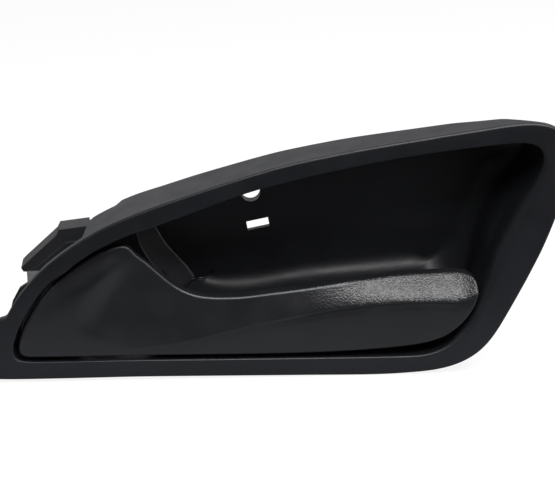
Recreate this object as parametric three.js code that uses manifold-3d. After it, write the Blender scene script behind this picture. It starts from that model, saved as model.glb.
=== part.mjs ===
// Interior door release handle: finger-cup bezel with a flush pull lever on a vertical hinge pin.
// Millimetres. +X runs along the handle towards the grip, +Y into the door, +Z up.
// All shapes are written with the rim's front face at y = 0; the exported group is shifted so that
// the origin is the centre of the rear mounting pad.
import * as THREE from 'three';
import { mergeVertices } from 'three/addons/utils/BufferGeometryUtils.js';
import Module from 'manifold-3d';

const wasm = await Module();
wasm.setup();

// ---------------------------------------------------------------- driving dimensions
const RIM_T = 2.6;            // rim plate thickness
const WALL = 2.2;             // bezel wall
const LIP_T = 3.2;            // depth of the rim's square outer edge
const POCKET_Y = 17;          // floor of the lever pocket
const CUP_Y = 28;             // front of the finger cup's back wall
const CUP_BACK = CUP_Y + 2.3; // rear of it
const AX = -62, AY = 10;      // hinge line
const PIN_R = 2.4, BUSH_R = 3.1, KNUCKLE_R = 4.3;
const EAR_LO = [10.9, 13.2], KN_LO = [13.7, 21.8], KN_HI = [29.6, 34.4], EAR_HI = [34.9, 37.6];
const SPRING_Z = [23.0, 28.6], SPRING_R = 3.6, SPRING_WIRE = 0.5, SPRING_TURNS = 4;
const ARM_LEN = 23;           // cable arm, hinge line to cable nipple
const CAR_Y0 = 30.9, CAR_Y1 = 33.4;   // carrier plate
const WALL_Y0 = 25.2, WALL_Y1 = 27.0; // dust wall behind the lever's hinge end
const PAD = [20, 40, 31];     // centre of the rear mounting pad: becomes the origin
const SCREW_HOLE = [-8.1, 58.1], SCREW_HOLE_R = 3.5;
const SLOT = [[-9.8, 47.1], [-2.0, 48.7], [-1.4, 45.4], [-9.2, 43.8]];

// ---------------------------------------------------------------- curves of the front view, [x, z]
const SEG = [8, 12, 20, 16, 16, 5];   // samples from anchor to anchor: corner, mid bottom, right, top, left, foot
const RIM_OUT = [
  [[-102.5, 0.2], [-97.5, -0.4], [-77.4, -0.6], [-50.6, -0.5], [-30, -0.7]],
  [[-30, -0.7], [8, -1.2], [37.4, -1.5], [48.4, -1.0]],
  [[48.4, -1.0], [55.9, -0.3], [62.9, 1.4], [68.6, 4.1], [73.1, 7.8], [76.9, 12.9], [82.3, 23.1], [87.9, 34.6], [92.7, 45.5], [94.7, 51.0], [96.3, 55.8], [98.2, 61.8], [99.6, 67.8], [100.3, 74.3], [100.1, 80], [99.2, 84.3], [97.2, 87.5]],
  [[97.2, 87.5], [94, 89.4], [89.7, 90.3], [84, 90.3], [78.3, 89.7], [71.6, 88.6], [60.3, 87.0], [52.8, 85.8], [26.8, 81.6], [7.6, 77.8], [0.8, 76.2], [-16.3, 71.1], [-35.9, 64.6]],
  [[-35.9, 64.6], [-49, 59.9], [-60.9, 54.6], [-72.3, 47.5], [-81.1, 40.4], [-85.9, 35.2], [-90, 30], [-92.9, 25.2], [-94.3, 23]],
  [[-94.3, 23], [-97, 22.0], [-99.4, 19.2], [-101.9, 14.2], [-103.8, 7.4], [-103.9, 2.8], [-102.5, 0.2]],
];
const SKIRT_FOOT = [[-94.3, 23], [-96.2, 17], [-97, 10], [-97, 4], [-95.6, 0.3]];
const RIM_IN = [
  [[-91.3, 7.3], [-89.1, 6.3], [-77.2, 6.0], [-50.4, 6.0], [-30, 5.8]],
  [[-30, 5.8], [7.9, 5.5], [37.3, 5.3], [48.5, 5.4]],
  [[48.5, 5.4], [52.0, 5.6], [56.1, 6.3], [60.7, 7.9], [65.2, 10.9], [69, 15], [71.6, 19.9], [73.6, 24.4], [75.8, 29.6], [78.1, 35.2], [82.3, 44], [85.8, 52], [88.5, 60], [90.4, 65.9], [91.9, 71.8], [92.7, 76.5], [92.3, 79.9], [90.8, 82.3]],
  [[90.8, 82.3], [87.8, 83.7], [83.2, 83.9], [78.6, 83.5], [69.5, 82.5], [59.5, 81.4], [39.9, 78.6], [20.4, 74.9], [7.7, 72.1], [0.9, 70.4], [-5.7, 68.7], [-12.3, 66.7], [-29.5, 60.4], [-34, 58.8]],
  [[-34, 58.8], [-42.6, 55.8], [-52.5, 51.9], [-62.5, 47.0], [-70.5, 41.6], [-72.9, 39.4], [-75.9, 37.6], [-78.6, 35.8], [-82.7, 31], [-87.0, 24.6], [-88.6, 21.9]],
  [[-88.6, 21.9], [-90.1, 18.4], [-91.4, 15.4], [-92.2, 12.2], [-92.2, 9], [-91.3, 7.3]],
];
const CUP = [   // edge of the finger cup's back wall
  [[-27.3, 26.4], [-24.0, 25.0]],
  [[-24.0, 25.0], [-16.7, 23.7], [-5.3, 24.4], [9.6, 27.0], [27.7, 28.8], [45.9, 30.2], [50, 30.8]],
  [[50, 30.8], [56, 32.5], [62, 36.5], [67, 43], [71, 51], [75, 60], [78.5, 69], [80, 75]],
  [[80, 75], [76, 78], [66, 78.5], [50, 76.5], [20, 71], [0, 66.5], [-15, 61.5], [-30, 56], [-39, 52.3]],
  [[-39, 52.3], [-43, 48.8], [-40.4, 44], [-36.9, 38.5], [-30.6, 31.3], [-28.8, 29]],
  [[-28.8, 29], [-27.3, 26.4]],
];
// depth of the outer skirt's rear edge, by sample along the outline
const skirtDepth = (x, z, seg) => {
  if (seg === 3 || seg === 4) {
    if (x < -66.5) return 3.4;
    if (x > 88) return 4.2;
    return table([[-66.5, 15.8], [-64.4, 20], [-55.6, 20.4], [-54.2, 23.6], [-49, 23.6], [-39, 22.2], [-29, 21.7], [-15.7, 20.2], [8.8, 18.2], [22, 17.6], [48, 15], [62, 13.7], [73, 11], [78, 10], [83, 6.5], [88, 4.2]], x);
  }
  if (seg === 2) return table([[0, 15], [12, 12], [30, 8], [60, 5], [88, 4.2]], z);
  if (seg === 5) return table([[0, 15], [8, 12], [16, 5], [20, 3.4], [23, 3.4]], z);
  return table([[-98, 15], [-90, 16], [40, 16], [48, 15]], x);
};
function table(rows, v) {
  if (v <= rows[0][0]) return rows[0][1];
  for (let i = 1; i < rows.length; i++) if (v <= rows[i][0]) {
    const [a, b] = [rows[i - 1], rows[i]];
    return a[1] + (b[1] - a[1]) * (v - a[0]) / (b[0] - a[0]);
  }
  return rows[rows.length - 1][1];
}
const smooth = (t) => { t = Math.min(1, Math.max(0, t)); return t * t * (3 - 2 * t); };
const lerp = (a, b, t) => a + (b - a) * t;

// evenly spaced points along a polyline, the last one left out
function spread(line, n) {
  const curve = new THREE.CurvePath();
  for (let i = 1; i < line.length; i++) curve.add(new THREE.LineCurve(new THREE.Vector2(...line[i - 1]), new THREE.Vector2(...line[i])));
  const out = [];
  for (let i = 0; i < n; i++) { const p = curve.getPointAt(i / n); out.push([p.x, p.y]); }
  return out;
}
const loop = (parts) => parts.flatMap((p, i) => spread(p, SEG[i]).map((q) => [...q, i]));

// ---------------------------------------------------------------- mesh helpers
const toSolid = (geometry) => {
  let g = geometry.clone();
  g.deleteAttribute('normal'); g.deleteAttribute('uv');
  g = mergeVertices(g, 1e-4);
  const idx = [];
  for (let i = 0; i < g.index.count; i += 3) {
    const [a, b, c] = [g.index.getX(i), g.index.getX(i + 1), g.index.getX(i + 2)];
    if (a !== b && b !== c && c !== a) idx.push(a, b, c);
  }
  return new wasm.Manifold(new wasm.Mesh({ numProp: 3, vertProperties: new Float32Array(g.attributes.position.array), triVerts: new Uint32Array(idx) }));
};
const fromSolid = (solid) => {
  const m = solid.getMesh();
  const g = new THREE.BufferGeometry();
  g.setAttribute('position', new THREE.BufferAttribute(new Float32Array(m.vertProperties), 3));
  g.setIndex(new THREE.BufferAttribute(new Uint32Array(m.triVerts), 1));
  return g;
};
// closed solid from rings of equal length, each end closed by a fan
function ringGeometry(rings) {
  const n = rings[0].length, pos = [], idx = [];
  for (const r of rings) for (const p of r) pos.push(...p);
  for (let k = 0; k + 1 < rings.length; k++) for (let i = 0; i < n; i++) {
    const a = k * n + i, b = k * n + (i + 1) % n, c = a + n, d = b + n;
    idx.push(a, c, b, b, c, d);
  }
  const fan = (k, flip) => {
    const c = [0, 0, 0];
    rings[k].forEach((p) => p.forEach((v, j) => { c[j] += v / n; }));
    const at = pos.length / 3; pos.push(...c);
    for (let i = 0; i < n; i++) {
      const a = k * n + i, b = k * n + (i + 1) % n;
      idx.push(...(flip ? [at, b, a] : [at, a, b]));
    }
  };
  fan(0, false); fan(rings.length - 1, true);
  const g = new THREE.BufferGeometry();
  g.setAttribute('position', new THREE.Float32BufferAttribute(pos, 3));
  g.setIndex(idx);
  return g;
}
const shapeOf = (pts, holes = []) => {
  const s = new THREE.Shape(pts.map((p) => new THREE.Vector2(...p)));
  for (const h of holes) s.holes.push(new THREE.Path(h.map((p) => new THREE.Vector2(...p))));
  return s;
};
// plate with an outline in x-z, from y0 to y1
function plateXZ(pts, y0, y1, holes) {
  const g = new THREE.ExtrudeGeometry(shapeOf(pts, holes), { depth: y1 - y0, bevelEnabled: false, curveSegments: 12 });
  g.rotateX(Math.PI / 2); g.translate(0, y1, 0);
  return toSolid(g);
}
// plate with an outline in x-y, from z0 to z1
function plateXY(pts, z0, z1, holes) {
  const g = new THREE.ExtrudeGeometry(shapeOf(pts, holes), { depth: z1 - z0, bevelEnabled: false, curveSegments: 12 });
  g.translate(0, 0, z0);
  return toSolid(g);
}
// plate with an outline in y-z, from x0 to x1
function plateYZ(pts, x0, x1, holes) {
  const g = new THREE.ExtrudeGeometry(shapeOf(pts, holes), { depth: x1 - x0, bevelEnabled: false, curveSegments: 12 });
  g.rotateZ(Math.PI / 2); g.rotateY(Math.PI / 2); g.translate(x0, 0, 0);
  return toSolid(g);
}
const cylY = (x, z, r, y0, y1, n = 20, r2 = r) => { const g = new THREE.CylinderGeometry(r2, r, y1 - y0, n); g.translate(0, (y0 + y1) / 2, 0); g.translate(x, 0, z); return toSolid(g); };
const cylZ = (x, y, r, z0, z1, n = 20) => { const g = new THREE.CylinderGeometry(r, r, z1 - z0, n); g.rotateX(Math.PI / 2); g.translate(x, y, (z0 + z1) / 2); return toSolid(g); };
const cylX = (y, z, r, x0, x1, n = 20) => { const g = new THREE.CylinderGeometry(r, r, x1 - x0, n); g.rotateZ(Math.PI / 2); g.translate((x0 + x1) / 2, y, z); return toSolid(g); };
const box = (x0, x1, y0, y1, z0, z1) => { const g = new THREE.BoxGeometry(x1 - x0, y1 - y0, z1 - z0); g.translate((x0 + x1) / 2, (y0 + y1) / 2, (z0 + z1) / 2); return toSolid(g); };
const join = (...s) => s.reduce((a, b) => a.add(b));
const cut = (a, ...s) => s.reduce((m, b) => m.subtract(b), a);

// ---------------------------------------------------------------- bezel
const inset = (ring, d) => ring.map((p, i) => {
  const n = ring.length, a = ring[(i + n - 1) % n], b = ring[(i + 1) % n];
  const tx = b[0] - a[0], tz = b[1] - a[1], l = Math.hypot(tx, tz) || 1;
  return [p[0] - tz / l * d, p[1] + tx / l * d, p[2]];
});
const rimOut = loop(RIM_OUT);
const skirt = loop([[[-95.6, 0.3], ...RIM_OUT[0].slice(2)], RIM_OUT[1], RIM_OUT[2], RIM_OUT[3], RIM_OUT[4], SKIRT_FOOT]);
// away from the foot the skirt is the rim's own outline
skirt.forEach((p, i) => { if (p[2] >= 1 && p[2] <= 4) { p[0] = rimOut[i][0]; p[1] = rimOut[i][1]; } });
const rimIn = loop(RIM_IN), cup = loop(CUP), N = rimIn.length;
const SEG_START = SEG.reduce((a, n) => [...a, a[a.length - 1] + n], [0]);

function section(i) {
  const [ix, iz, seg] = rimIn[i], [cx, cz] = cup[i];
  const L = Math.hypot(cx - ix, cz - iz), dx = (cx - ix) / L, dz = (cz - iz) / L;
  const k = (i - SEG_START[seg]) / SEG[seg];
  let pocket, roll, band;
  if (seg === 0 || seg === 1) { pocket = 1; roll = 0.5; band = seg === 0 ? lerp(8, 4.2, k) : 4.2; if (seg === 1) roll = lerp(0.5, 0.8, k); }
  else if (seg === 2) { pocket = 1 - smooth(k / 0.22); roll = table([[0, 0.8], [0.1, 1.6], [0.2, 3.2], [0.28, 4.0], [0.38, 4.4], [0.55, 6], [0.75, 4.5], [0.9, 1.8], [1, 1.0]], k); band = 4.2; }
  else if (seg === 3) { pocket = 0; roll = 0.7; band = 4; }
  else if (seg === 4) { pocket = smooth((k - 0.08) / 0.25); roll = 0.6; band = lerp(6, 9, smooth(k * 2)); }
  else { pocket = 1; roll = 0.5; band = lerp(9, 8, k); }
  const rel = (seg === 4 || seg === 5) ? 0.8 * smooth(k * 3) : 0;
  const r = roll;
  const P = [[-0.5, 0], [0, 0.5], [0, 2.4], [-rel, 2.7], [-rel + 0.1, POCKET_Y - 1], [1.2, POCKET_Y], [L - band, POCKET_Y], [L - band * 0.72, POCKET_Y + 2.2], [L - band * 0.3, CUP_Y - 2.4], [L, CUP_Y]];
  const T = [[-0.4, 0], [0.35 * r, 0.12 * r], [0.72 * r, 0.42 * r], [r, r], [r + 0.3, r + 4.5], [Math.min(r + 1.0, L - 3), 14], [Math.min(r + 1.8, L - 2.6), 18], [Math.min(r + 2.6, L - 2), 22], [Math.max(r + 3, L - 1.6), CUP_Y - 1.4], [L, CUP_Y]];
  const Pb = [[-rel - 1.9, RIM_T], [-rel - 1.9, POCKET_Y + 1.5], [-rel - 1.1, POCKET_Y + 2.2], [L - band - 1.6, POCKET_Y + 2.2], [L - band * 0.3 - 2.2, CUP_BACK], [L, CUP_BACK]];
  const Tb = [[-1.9, RIM_T], [Math.max(-1.9, r - 2.1), Math.max(RIM_T + 1.2, r + 3)], [Math.min(r - 1.2, L - 5), 14], [Math.min(r - 0.4, L - 4.6), 20], [L - 3.4, CUP_BACK], [L, CUP_BACK]];
  const at = (u, y) => [ix + dx * u, y, iz + dz * u];
  const mix = (A, B) => A.map((a, j) => at(lerp(B[j][0], a[0], pocket), lerp(B[j][1], a[1], pocket)));
  return { front: mix(P, T), back: mix(Pb, Tb) };
}
const sections = rimIn.map((_, i) => section(i));
const ringAt = (flat, y) => flat.map((p, i) => [p[0], typeof y === 'function' ? y(p, i) : y, p[1]]);
const cupCentre = [22, 52];
const toCentre = (ring, f, y) => ring.map((p) => [lerp(cupCentre[0], p[0], f), y, lerp(cupCentre[1], p[2], f)]);
const depthOf = skirt.map((p) => skirtDepth(p[0], p[1], p[2]));
const bezelRings = [];
bezelRings.push(toCentre(sections.map((s) => s.front[9]), 0.5, CUP_Y));
for (let k = 9; k >= 0; k--) bezelRings.push(sections.map((s) => s.front[k]));
bezelRings.push(ringAt(inset(rimOut, 0.9), 0), ringAt(inset(rimOut, 0.25), 0.25), ringAt(rimOut, 0.9), ringAt(rimOut, LIP_T));
bezelRings.push(ringAt(skirt, LIP_T), ringAt(skirt, (p, i) => depthOf[i]));
bezelRings.push(ringAt(inset(skirt, 2.0), (p, i) => depthOf[i]), ringAt(inset(skirt, 2.0), RIM_T));
for (let k = 0; k <= 5; k++) bezelRings.push(sections.map((s) => s.back[k]));
bezelRings.push(toCentre(sections.map((s) => s.back[5]), 0.5, CUP_BACK));
let bezel = toSolid(ringGeometry(bezelRings));

// hinge window in the pocket floor, screw hole, slot
bezel = cut(bezel, box(-90, -46.5, 12.5, 24, 8.2, 33.6), box(-68, -54.5, 12.5, 24, 33, 38.4));
const screwAt = [[-34, 12.6], [6, 12.6], [46, 13.5], [-42.2, 29.5]];
for (const [x, z] of screwAt) bezel = bezel.add(cylY(x, z, 3.4, POCKET_Y + 1, CAR_Y0 - 0.3, 14));
for (const [x, z] of screwAt) bezel = bezel.subtract(cylY(x, z, 1.5, POCKET_Y + 4.5, CAR_Y0 + 1, 12));
// ribs between rim, cup and skirt
const topEdge = (part, x) => table([...part[3]].reverse(), x);
for (const [x, d] of [[-22, 15], [6, 13], [34, 11], [60, 8]]) bezel = bezel.add(box(x - 0.7, x + 0.7, RIM_T - 0.6, RIM_T + d, topEdge(RIM_IN, x) + 0.9, topEdge(RIM_OUT, x) - 1.1));
for (const x of [-70, -48, -14, 20, 50]) bezel = bezel.add(box(x - 0.7, x + 0.7, RIM_T - 0.6, 14, 0.4, 5.0));
// boss round the fixing screw hole, then the hole and the cable-tie slot
bezel = bezel.add(cylY(SCREW_HOLE[0], SCREW_HOLE[1], 6.2, CUP_Y + 1, CUP_BACK + 2.4, 24));
bezel = cut(bezel, cylY(SCREW_HOLE[0], SCREW_HOLE[1], SCREW_HOLE_R, CUP_Y - 3, CUP_BACK + 4, 24), plateXZ(SLOT, CUP_Y - 3, CUP_BACK + 3));
// clip tabs on the skirt's lower edge and right end
const TABS = [[-56, -0.4, 1.4], [26, -0.9, 0.9]];
for (const [x, , z] of TABS) bezel = bezel.add(box(x - 4, x + 4, 13.5, 24, z - 1.5, z + 0.1));

// ---------------------------------------------------------------- lever
const LEVER_TOP = [[-89.2, 12.0], [-88.6, 14.3], [-88.0, 16.3], [-86.5, 19.7], [-82.9, 26.9], [-79.8, 31.3], [-76.4, 34.6], [-72.8, 37.6], [-69.2, 40.3], [-62.6, 44.4], [-57.5, 46.6], [-54.6, 47.5], [-52.6, 47.6], [-50.7, 46.6], [-49.3, 44.6], [-44.8, 40.6], [-39.4, 35.6], [-36.5, 33.1], [-33.9, 31.3], [-29.9, 29.4], [-26.6, 28.5], [-21.7, 28.0], [-16.5, 28.0], [-11.7, 28.2], [-3.1, 28.8], [8.2, 30.0], [25.9, 32.0], [31.2, 32.5], [41.8, 33.3], [54.4, 33.7], [63.2, 33.9], [67.3, 33.7], [69.7, 32.7], [70.5, 31.2], [70.7, 29.3]];
const LEVER_BOTTOM = [[-89.2, 10.6], [-88.4, 9.3], [-87.3, 8.8], [-83.7, 8.6], [-50.4, 8.2], [8.0, 7.8], [30.9, 8.3], [48.2, 9.4], [54.4, 10.6], [60.0, 12.8], [65.0, 16.9], [68.4, 21.4], [70.2, 25.5], [70.7, 28.4]];
const CREASE = [[-71.5, 21.5], [-70.7, 16.5], [-66.3, 12.7], [-60.5, 10.9], [-51.0, 10.8], [-39.9, 11.9], [-28.7, 13.6], [-17.5, 16.1], [-6.3, 18.6], [4.8, 20.7], [16.0, 22.5], [27.6, 24.2], [42.1, 25.4], [53.5, 25.7], [62.1, 25.2], [66.0, 25.6], [69.0, 27.0], [70.7, 28.8]];
const RIDGE = [[-51.5, 47.2], [-58.3, 41.2], [-63.5, 35.3], [-67.7, 30.1], [-70.4, 24.8], [-71.5, 21.5], [-70.7, 16.5], [-66.3, 12.7], [-60.5, 10.9]];
const AT_CREASE = [[-71, 0.2], [-66, 1.2], [-60, 2.2], [-50, 3.3], [-30, 3.9], [-10, 3.5], [5, 2.7], [16, 2.0], [30, 1.2], [45, 0.5], [60, 0.0], [70, 0.1]];
const AT_TOP = [[-60, 3.0], [-52, 2.4], [-45, 2.6], [-35, 3.6], [-25, 4.5], [-10, 5.1], [5, 5.7], [20, 6.7], [35, 7.8], [50, 8.6], [62, 8.8], [67, 7.8], [70, 4.6], [70.7, 2.6]];
const nearLine = (line, x, z) => {
  let best = 1e9, side = 1;
  for (let i = 1; i < line.length; i++) {
    const [ax, az] = line[i - 1], [bx, bz] = line[i];
    const vx = bx - ax, vz = bz - az, t = Math.min(1, Math.max(0, ((x - ax) * vx + (z - az) * vz) / (vx * vx + vz * vz)));
    const d = Math.hypot(x - ax - vx * t, z - az - vz * t);
    if (d < best) { best = d; side = vx * (z - az) - vz * (x - ax) >= 0 ? 1 : -1; }
  }
  return best * side;
};
// depth of the lever's face behind the rim's front plane
function leverFace(x, z) {
  const zt = table(LEVER_TOP, x), zb = table(LEVER_BOTTOM, x);
  // the flat outer crescent, diving under the rim towards the hinge side
  const dive = x < -50 ? 3.6 * smooth(1 - (zt - z) / 9) * smooth((x + 84) / 10) : 0;
  const outer = 0.3 + dive;
  let inner = outer, w = 0;
  if (x > -60.5 || nearLine(RIDGE, x, z) > 0) {
    const zc = table(CREASE.slice(3), x);
    const t = Math.min(1, Math.max(0, (z - zc) / Math.max(1, zt - zc)));
    const bow = x < 0 ? 0.9 * smooth(-x / 30) : -0.7 * smooth(x / 40);
    inner = lerp(table(AT_CREASE, x), table(AT_TOP, x), x < 0 ? t : Math.pow(t, 1.15)) + bow * 4 * t * (1 - t);
    const toRidge = nearLine(RIDGE, x, z);
    w = smooth(toRidge / 7);
    if (x > -60.5) w = Math.min(z >= zc ? 1 : 0, x < -45 ? smooth(toRidge / 7) : 1);
  }
  return lerp(outer, inner, w);
}
const LX = [-89.2, -88.3, -86.8, -83.5, -79.5, -75.5, -71, -66.5, -62, -58, -54.6, -52.4, -50, -47, -43, -38, -33, -28, -22, -14, -5, 5, 16, 27, 38, 48, 55, 60, 64, 67, 69, 70.2, 70.7];
function leverSolid(shrink, frontY, backY) {
  const x0 = LX[0] + shrink, x1 = LX[LX.length - 1] - shrink;
  const xs = LX.map((x) => x).filter((x) => x > x0 + 0.3 && x < x1 - 0.3); xs.unshift(x0); xs.push(x1);
  const cols = xs.map((x) => {
    let b = table(LEVER_BOTTOM, x) + shrink * 1.05, t = table(LEVER_TOP, x) - shrink * 1.35;
    if (t < b + 0.8) { const m = (b + t) / 2; b = m - 0.4; t = m + 0.4; }
    const zc0 = x < -60.5 ? lerp(b, t, 0.1) : table(CREASE.slice(3), x);
    const zc = Math.min(t - 0.3, Math.max(b + 0.3, zc0));
    const e = Math.min(0.7, (t - b) * 0.15);
    const zs = [b, b + e, lerp(b + e, zc, 0.5), zc - 0.02 - Math.min(0.35, (zc - b) * 0.1), zc, lerp(zc, t, 0.2), lerp(zc, t, 0.4), lerp(zc, t, 0.6), lerp(zc, t, 0.8), t - e * 0.9, t];
    zs.sort((p, q) => p - q);
    return zs.map((z, j) => {
      const f = frontY(x, z), edge = (j === 0 || j === zs.length - 1 || x === x0 || x === x1) ? 0.7 : 0;
      return { x, z, f: f + (shrink ? 0 : edge), b: backY(x, z, f) };
    });
  });
  const n = cols.length, m = cols[0].length, pos = [], idx = [];
  for (const side of ['f', 'b']) for (const c of cols) for (const p of c) pos.push(p.x, p[side], p.z);
  const id = (i, j, s) => s * n * m + i * m + j;
  for (let i = 0; i + 1 < n; i++) for (let j = 0; j + 1 < m; j++) {
    const [a, b, c, d] = [id(i, j, 0), id(i + 1, j, 0), id(i, j + 1, 0), id(i + 1, j + 1, 0)];
    idx.push(a, b, c, b, d, c);
    const o = n * m;
    idx.push(a + o, c + o, b + o, b + o, c + o, d + o);
  }
  const rim = [];
  for (let i = 0; i < n; i++) rim.push([i, 0]);
  for (let j = 1; j < m; j++) rim.push([n - 1, j]);
  for (let i = n - 2; i >= 0; i--) rim.push([i, m - 1]);
  for (let j = m - 2; j >= 1; j--) rim.push([0, j]);
  rim.forEach(([i, j], k) => {
    const [p, q] = rim[(k + 1) % rim.length];
    const a = id(i, j, 0), b = id(p, q, 0), o = n * m;
    idx.push(a, a + o, b, b, a + o, b + o);
  });
  const g = new THREE.BufferGeometry();
  g.setAttribute('position', new THREE.Float32BufferAttribute(pos, 3));
  g.setIndex(idx);
  return toSolid(g);
}
const leverBack = (x, f) => { const s = smooth((x + 46) / 12); return Math.max(lerp(6.2, 7.6, s), f + lerp(2.7, 4.4, s)); };
let leverShell = leverSolid(0, leverFace, (x, z, f) => leverBack(x, f));
leverShell = leverShell.subtract(leverSolid(1.9, (x, z) => leverFace(x, z) + 2.3, () => 22));
const leverScrews = [[-44, 21], [-8, 14.2], [34, 15.6]];
const PLATE_Y = [8.3, 10.5];
for (const [x, z] of leverScrews) {
  leverShell = leverShell.add(cylY(x, z, 3.0, leverFace(x, z) + 1.6, PLATE_Y[0] - 0.35, 14));
  leverShell = leverShell.subtract(cylY(x, z, 1.45, leverFace(x, z) + 2.6, PLATE_Y[0] + 1, 12));
}

// lever carrier: plate, arms to the two knuckles, cable arm
const carrierPlate = plateXZ([[-56, 12.2], [48, 12.4], [50, 18.5], [20, 17.6], [-6, 21.5], [-30, 24.0], [-42, 31], [-50, 35.6], [-56, 35.6]], PLATE_Y[0], PLATE_Y[1],
  leverScrews.map(([x, z]) => ring2(x, z, 1.5, 12)));
function ring2(x, z, r, n) { return Array.from({ length: n }, (_, i) => [x + r * Math.cos(2 * Math.PI * i / n), z - r * Math.sin(2 * Math.PI * i / n)]); }
let leverCarrier = join(
  carrierPlate,
  box(AX, -54, 8.3, 12.2, KN_LO[0], KN_LO[1]), box(AX, -54, 8.3, 12.2, KN_HI[0], KN_HI[1]),
  box(-55.5, 46, PLATE_Y[1] - 0.3, 13.2, 12.2, 13.8),
  box(-55.5, -38, PLATE_Y[1] - 0.3, 12.6, 24.4, 26.0),
  cylZ(AX, AY, KNUCKLE_R, KN_LO[0], KN_LO[1], 24), cylZ(AX, AY, KNUCKLE_R, KN_HI[0], KN_HI[1], 24),
  plateXY([[AX - 3.4, AY + 1], [AX + 3.6, AY], [AX + 3.0, AY + ARM_LEN - 2], [AX + 2.2, AY + ARM_LEN + 2.6], [AX - 2.2, AY + ARM_LEN + 2.6], [AX - 3.0, AY + ARM_LEN - 2]], 17.2, 20.0),
);
leverCarrier = cut(leverCarrier, ...leverScrews.flatMap(([x, z]) => [cylY(x, z, 3.1, PLATE_Y[1], 15, 16), cylY(x, z, 1.5, 8, 15, 12)]), cylZ(AX, AY, BUSH_R + 0.3, KN_LO[0] - 1, KN_LO[1] + 1, 24), cylZ(AX, AY, BUSH_R + 0.3, KN_HI[0] - 1, KN_HI[1] + 1, 24),
  cylZ(AX, AY + ARM_LEN - 0.4, 1.9, 16, 21, 16));
const bush = ([z0, z1]) => cut(join(cylZ(AX, AY, BUSH_R, z0 + 0.1, z1 - 0.1, 24)), cylZ(AX, AY, PIN_R + 0.3, z0 - 1, z1 + 1, 24));
// snap-in collar that carries the cable nipple in the arm's eye
const nippleCollar = cut(join(cylZ(AX, AY + ARM_LEN - 0.4, 1.55, 16.4, 20.8, 16), cylZ(AX, AY + ARM_LEN - 0.4, 2.9, 20.3, 21.4, 16), cylZ(AX, AY + ARM_LEN - 0.4, 2.4, 15.6, 16.9, 16)), cylZ(AX, AY + ARM_LEN - 0.4, 0.8, 15, 22, 10));

// ---------------------------------------------------------------- rear carrier
const plateOutline = [[-43, 8.6], [50, 8.6], [53, 11.5], [54, 26], [44, 40], [4, 40], [-12, 40], [-30, 42.5], [-42, 44], [-56, 44], [-56, 40], [-66, 41.0], [-66, 34], [-70, 34], [-70, 24], [-43, 24]];
let carrier = plateXZ(plateOutline, CAR_Y0, CAR_Y1, screwAt.map(([x, z]) => ring2(x, z, 1.9, 12)));
const earOutline = [[AX - 4.6, AY + 1.2], [AX - 3.4, AY - 3.4], [AX, AY - 4.8], [AX + 3.4, AY - 3.4], [AX + 4.8, AY], [AX + 5.4, AY + 8], [AX + 6.0, CAR_Y0 + 0.6], [AX - 4.2, CAR_Y0 + 0.6]];
carrier = join(carrier, plateXY(earOutline, ...EAR_LO), plateXY(earOutline, ...EAR_HI),
  box(AX - 4.2, AX + 6, 29.2, CAR_Y1, EAR_LO[0], 16.2), box(AX - 4.2, AX + 19.5, CAR_Y0, CAR_Y1, EAR_LO[0], 15.4),
  // stiffening ribs and the raised mounting pad
  box(-42, 52, CAR_Y1 - 0.5, 36.2, 17.6, 19.2), box(-38, 42, CAR_Y1 - 0.5, 36.2, 37.6, 39.2),
  box(-37.6, -36.0, CAR_Y1 - 0.5, 36.2, 17.6, 42.5), box(44, 45.6, CAR_Y1 - 0.5, 36.2, 17.6, 36),
  box(PAD[0] - 11, PAD[0] + 11, CAR_Y1 - 0.5, PAD[1], PAD[2] - 6.5, PAD[2] + 6.5),
  // cable bracket that shows past the rim at the upper left
  plateXZ([[-66, 47.2], [-76.6, 45.9], [-77.6, 43.8], [-89.3, 33.0], [-90.6, 31.6], [-89.8, 30.2], [-87.0, 30.2], [-84, 32.2], [-74, 40.6], [-66, 41.0]], 26.2, 28.4),
  plateXZ([[-66, 47.2], [-76.6, 45.9], [-77.6, 43.8], [-89.3, 33.0], [-90.6, 31.6], [-89.8, 30.2], [-86.2, 33.6], [-76.4, 42.4], [-75.6, 44.2], [-66, 45.4]], 26.2, CAR_Y1 + 2.4),
  plateXZ([[-56, 44], [-66, 47.2], [-68.2, 46.8], [-68.2, 33], [-66, 33], [-56, 36]], CAR_Y0, CAR_Y1),
  box(-68.2, -66.4, 26.2, CAR_Y1, 36, 46.6),
  // conduit abutment on the left, in line with the cable arm's eye
  box(-85.2, -82.6, 27.4, 38.6, 12.2, 25.0), box(-85.2, -70, CAR_Y1 - 0.4, 35.6, 23.4, 25.0), box(-85.2, -70, CAR_Y1 - 0.4, 35.6, 12.2, 13.8),
  box(-72, -70, CAR_Y1 - 2.4, 35.6, 12.2, 25.0), box(-88.6, -82.6, 28.0, 35.6, 23.4, 25.4), box(-88.6, -86.4, 26.3, 35.6, 23.4, 32.0),
  // dust wall behind the lever's hinge end, with the webs that hold it
  plateXZ([[-92, 5], [-68.2, 5], [-68.2, 42], [-74, 41.2], [-84, 33], [-88, 30.6], [-88.4, 26.2], [-91.4, 24.2], [-94.2, 19], [-95.6, 13.5], [-94, 8]], WALL_Y0, WALL_Y1),
  plateYZ([[25.4, 25.5], [25.4, 31], [24.6, 31], [20.8, 26.9], [20.8, 25.5]], -88.2, -83.6),
  box(-85.2, -70, WALL_Y1 - 0.4, 35.6, 23.4, 25.0), box(-85.2, -70, WALL_Y1 - 0.4, 35.6, 12.2, 13.8),
);
// pin bores, cable-arm window, conduit slot, pad pilot
carrier = cut(carrier, cylZ(AX, AY, PIN_R + 0.3, 5, 50, 24), box(-68, -43.6, 26, 40, 15.0, 23.2),
  cylX(AY + ARM_LEN - 0.4, 18.6, 3.3, -86, -82, 16), box(-86, -82, AY + ARM_LEN - 0.4, 42, 17.0, 20.2));

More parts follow.
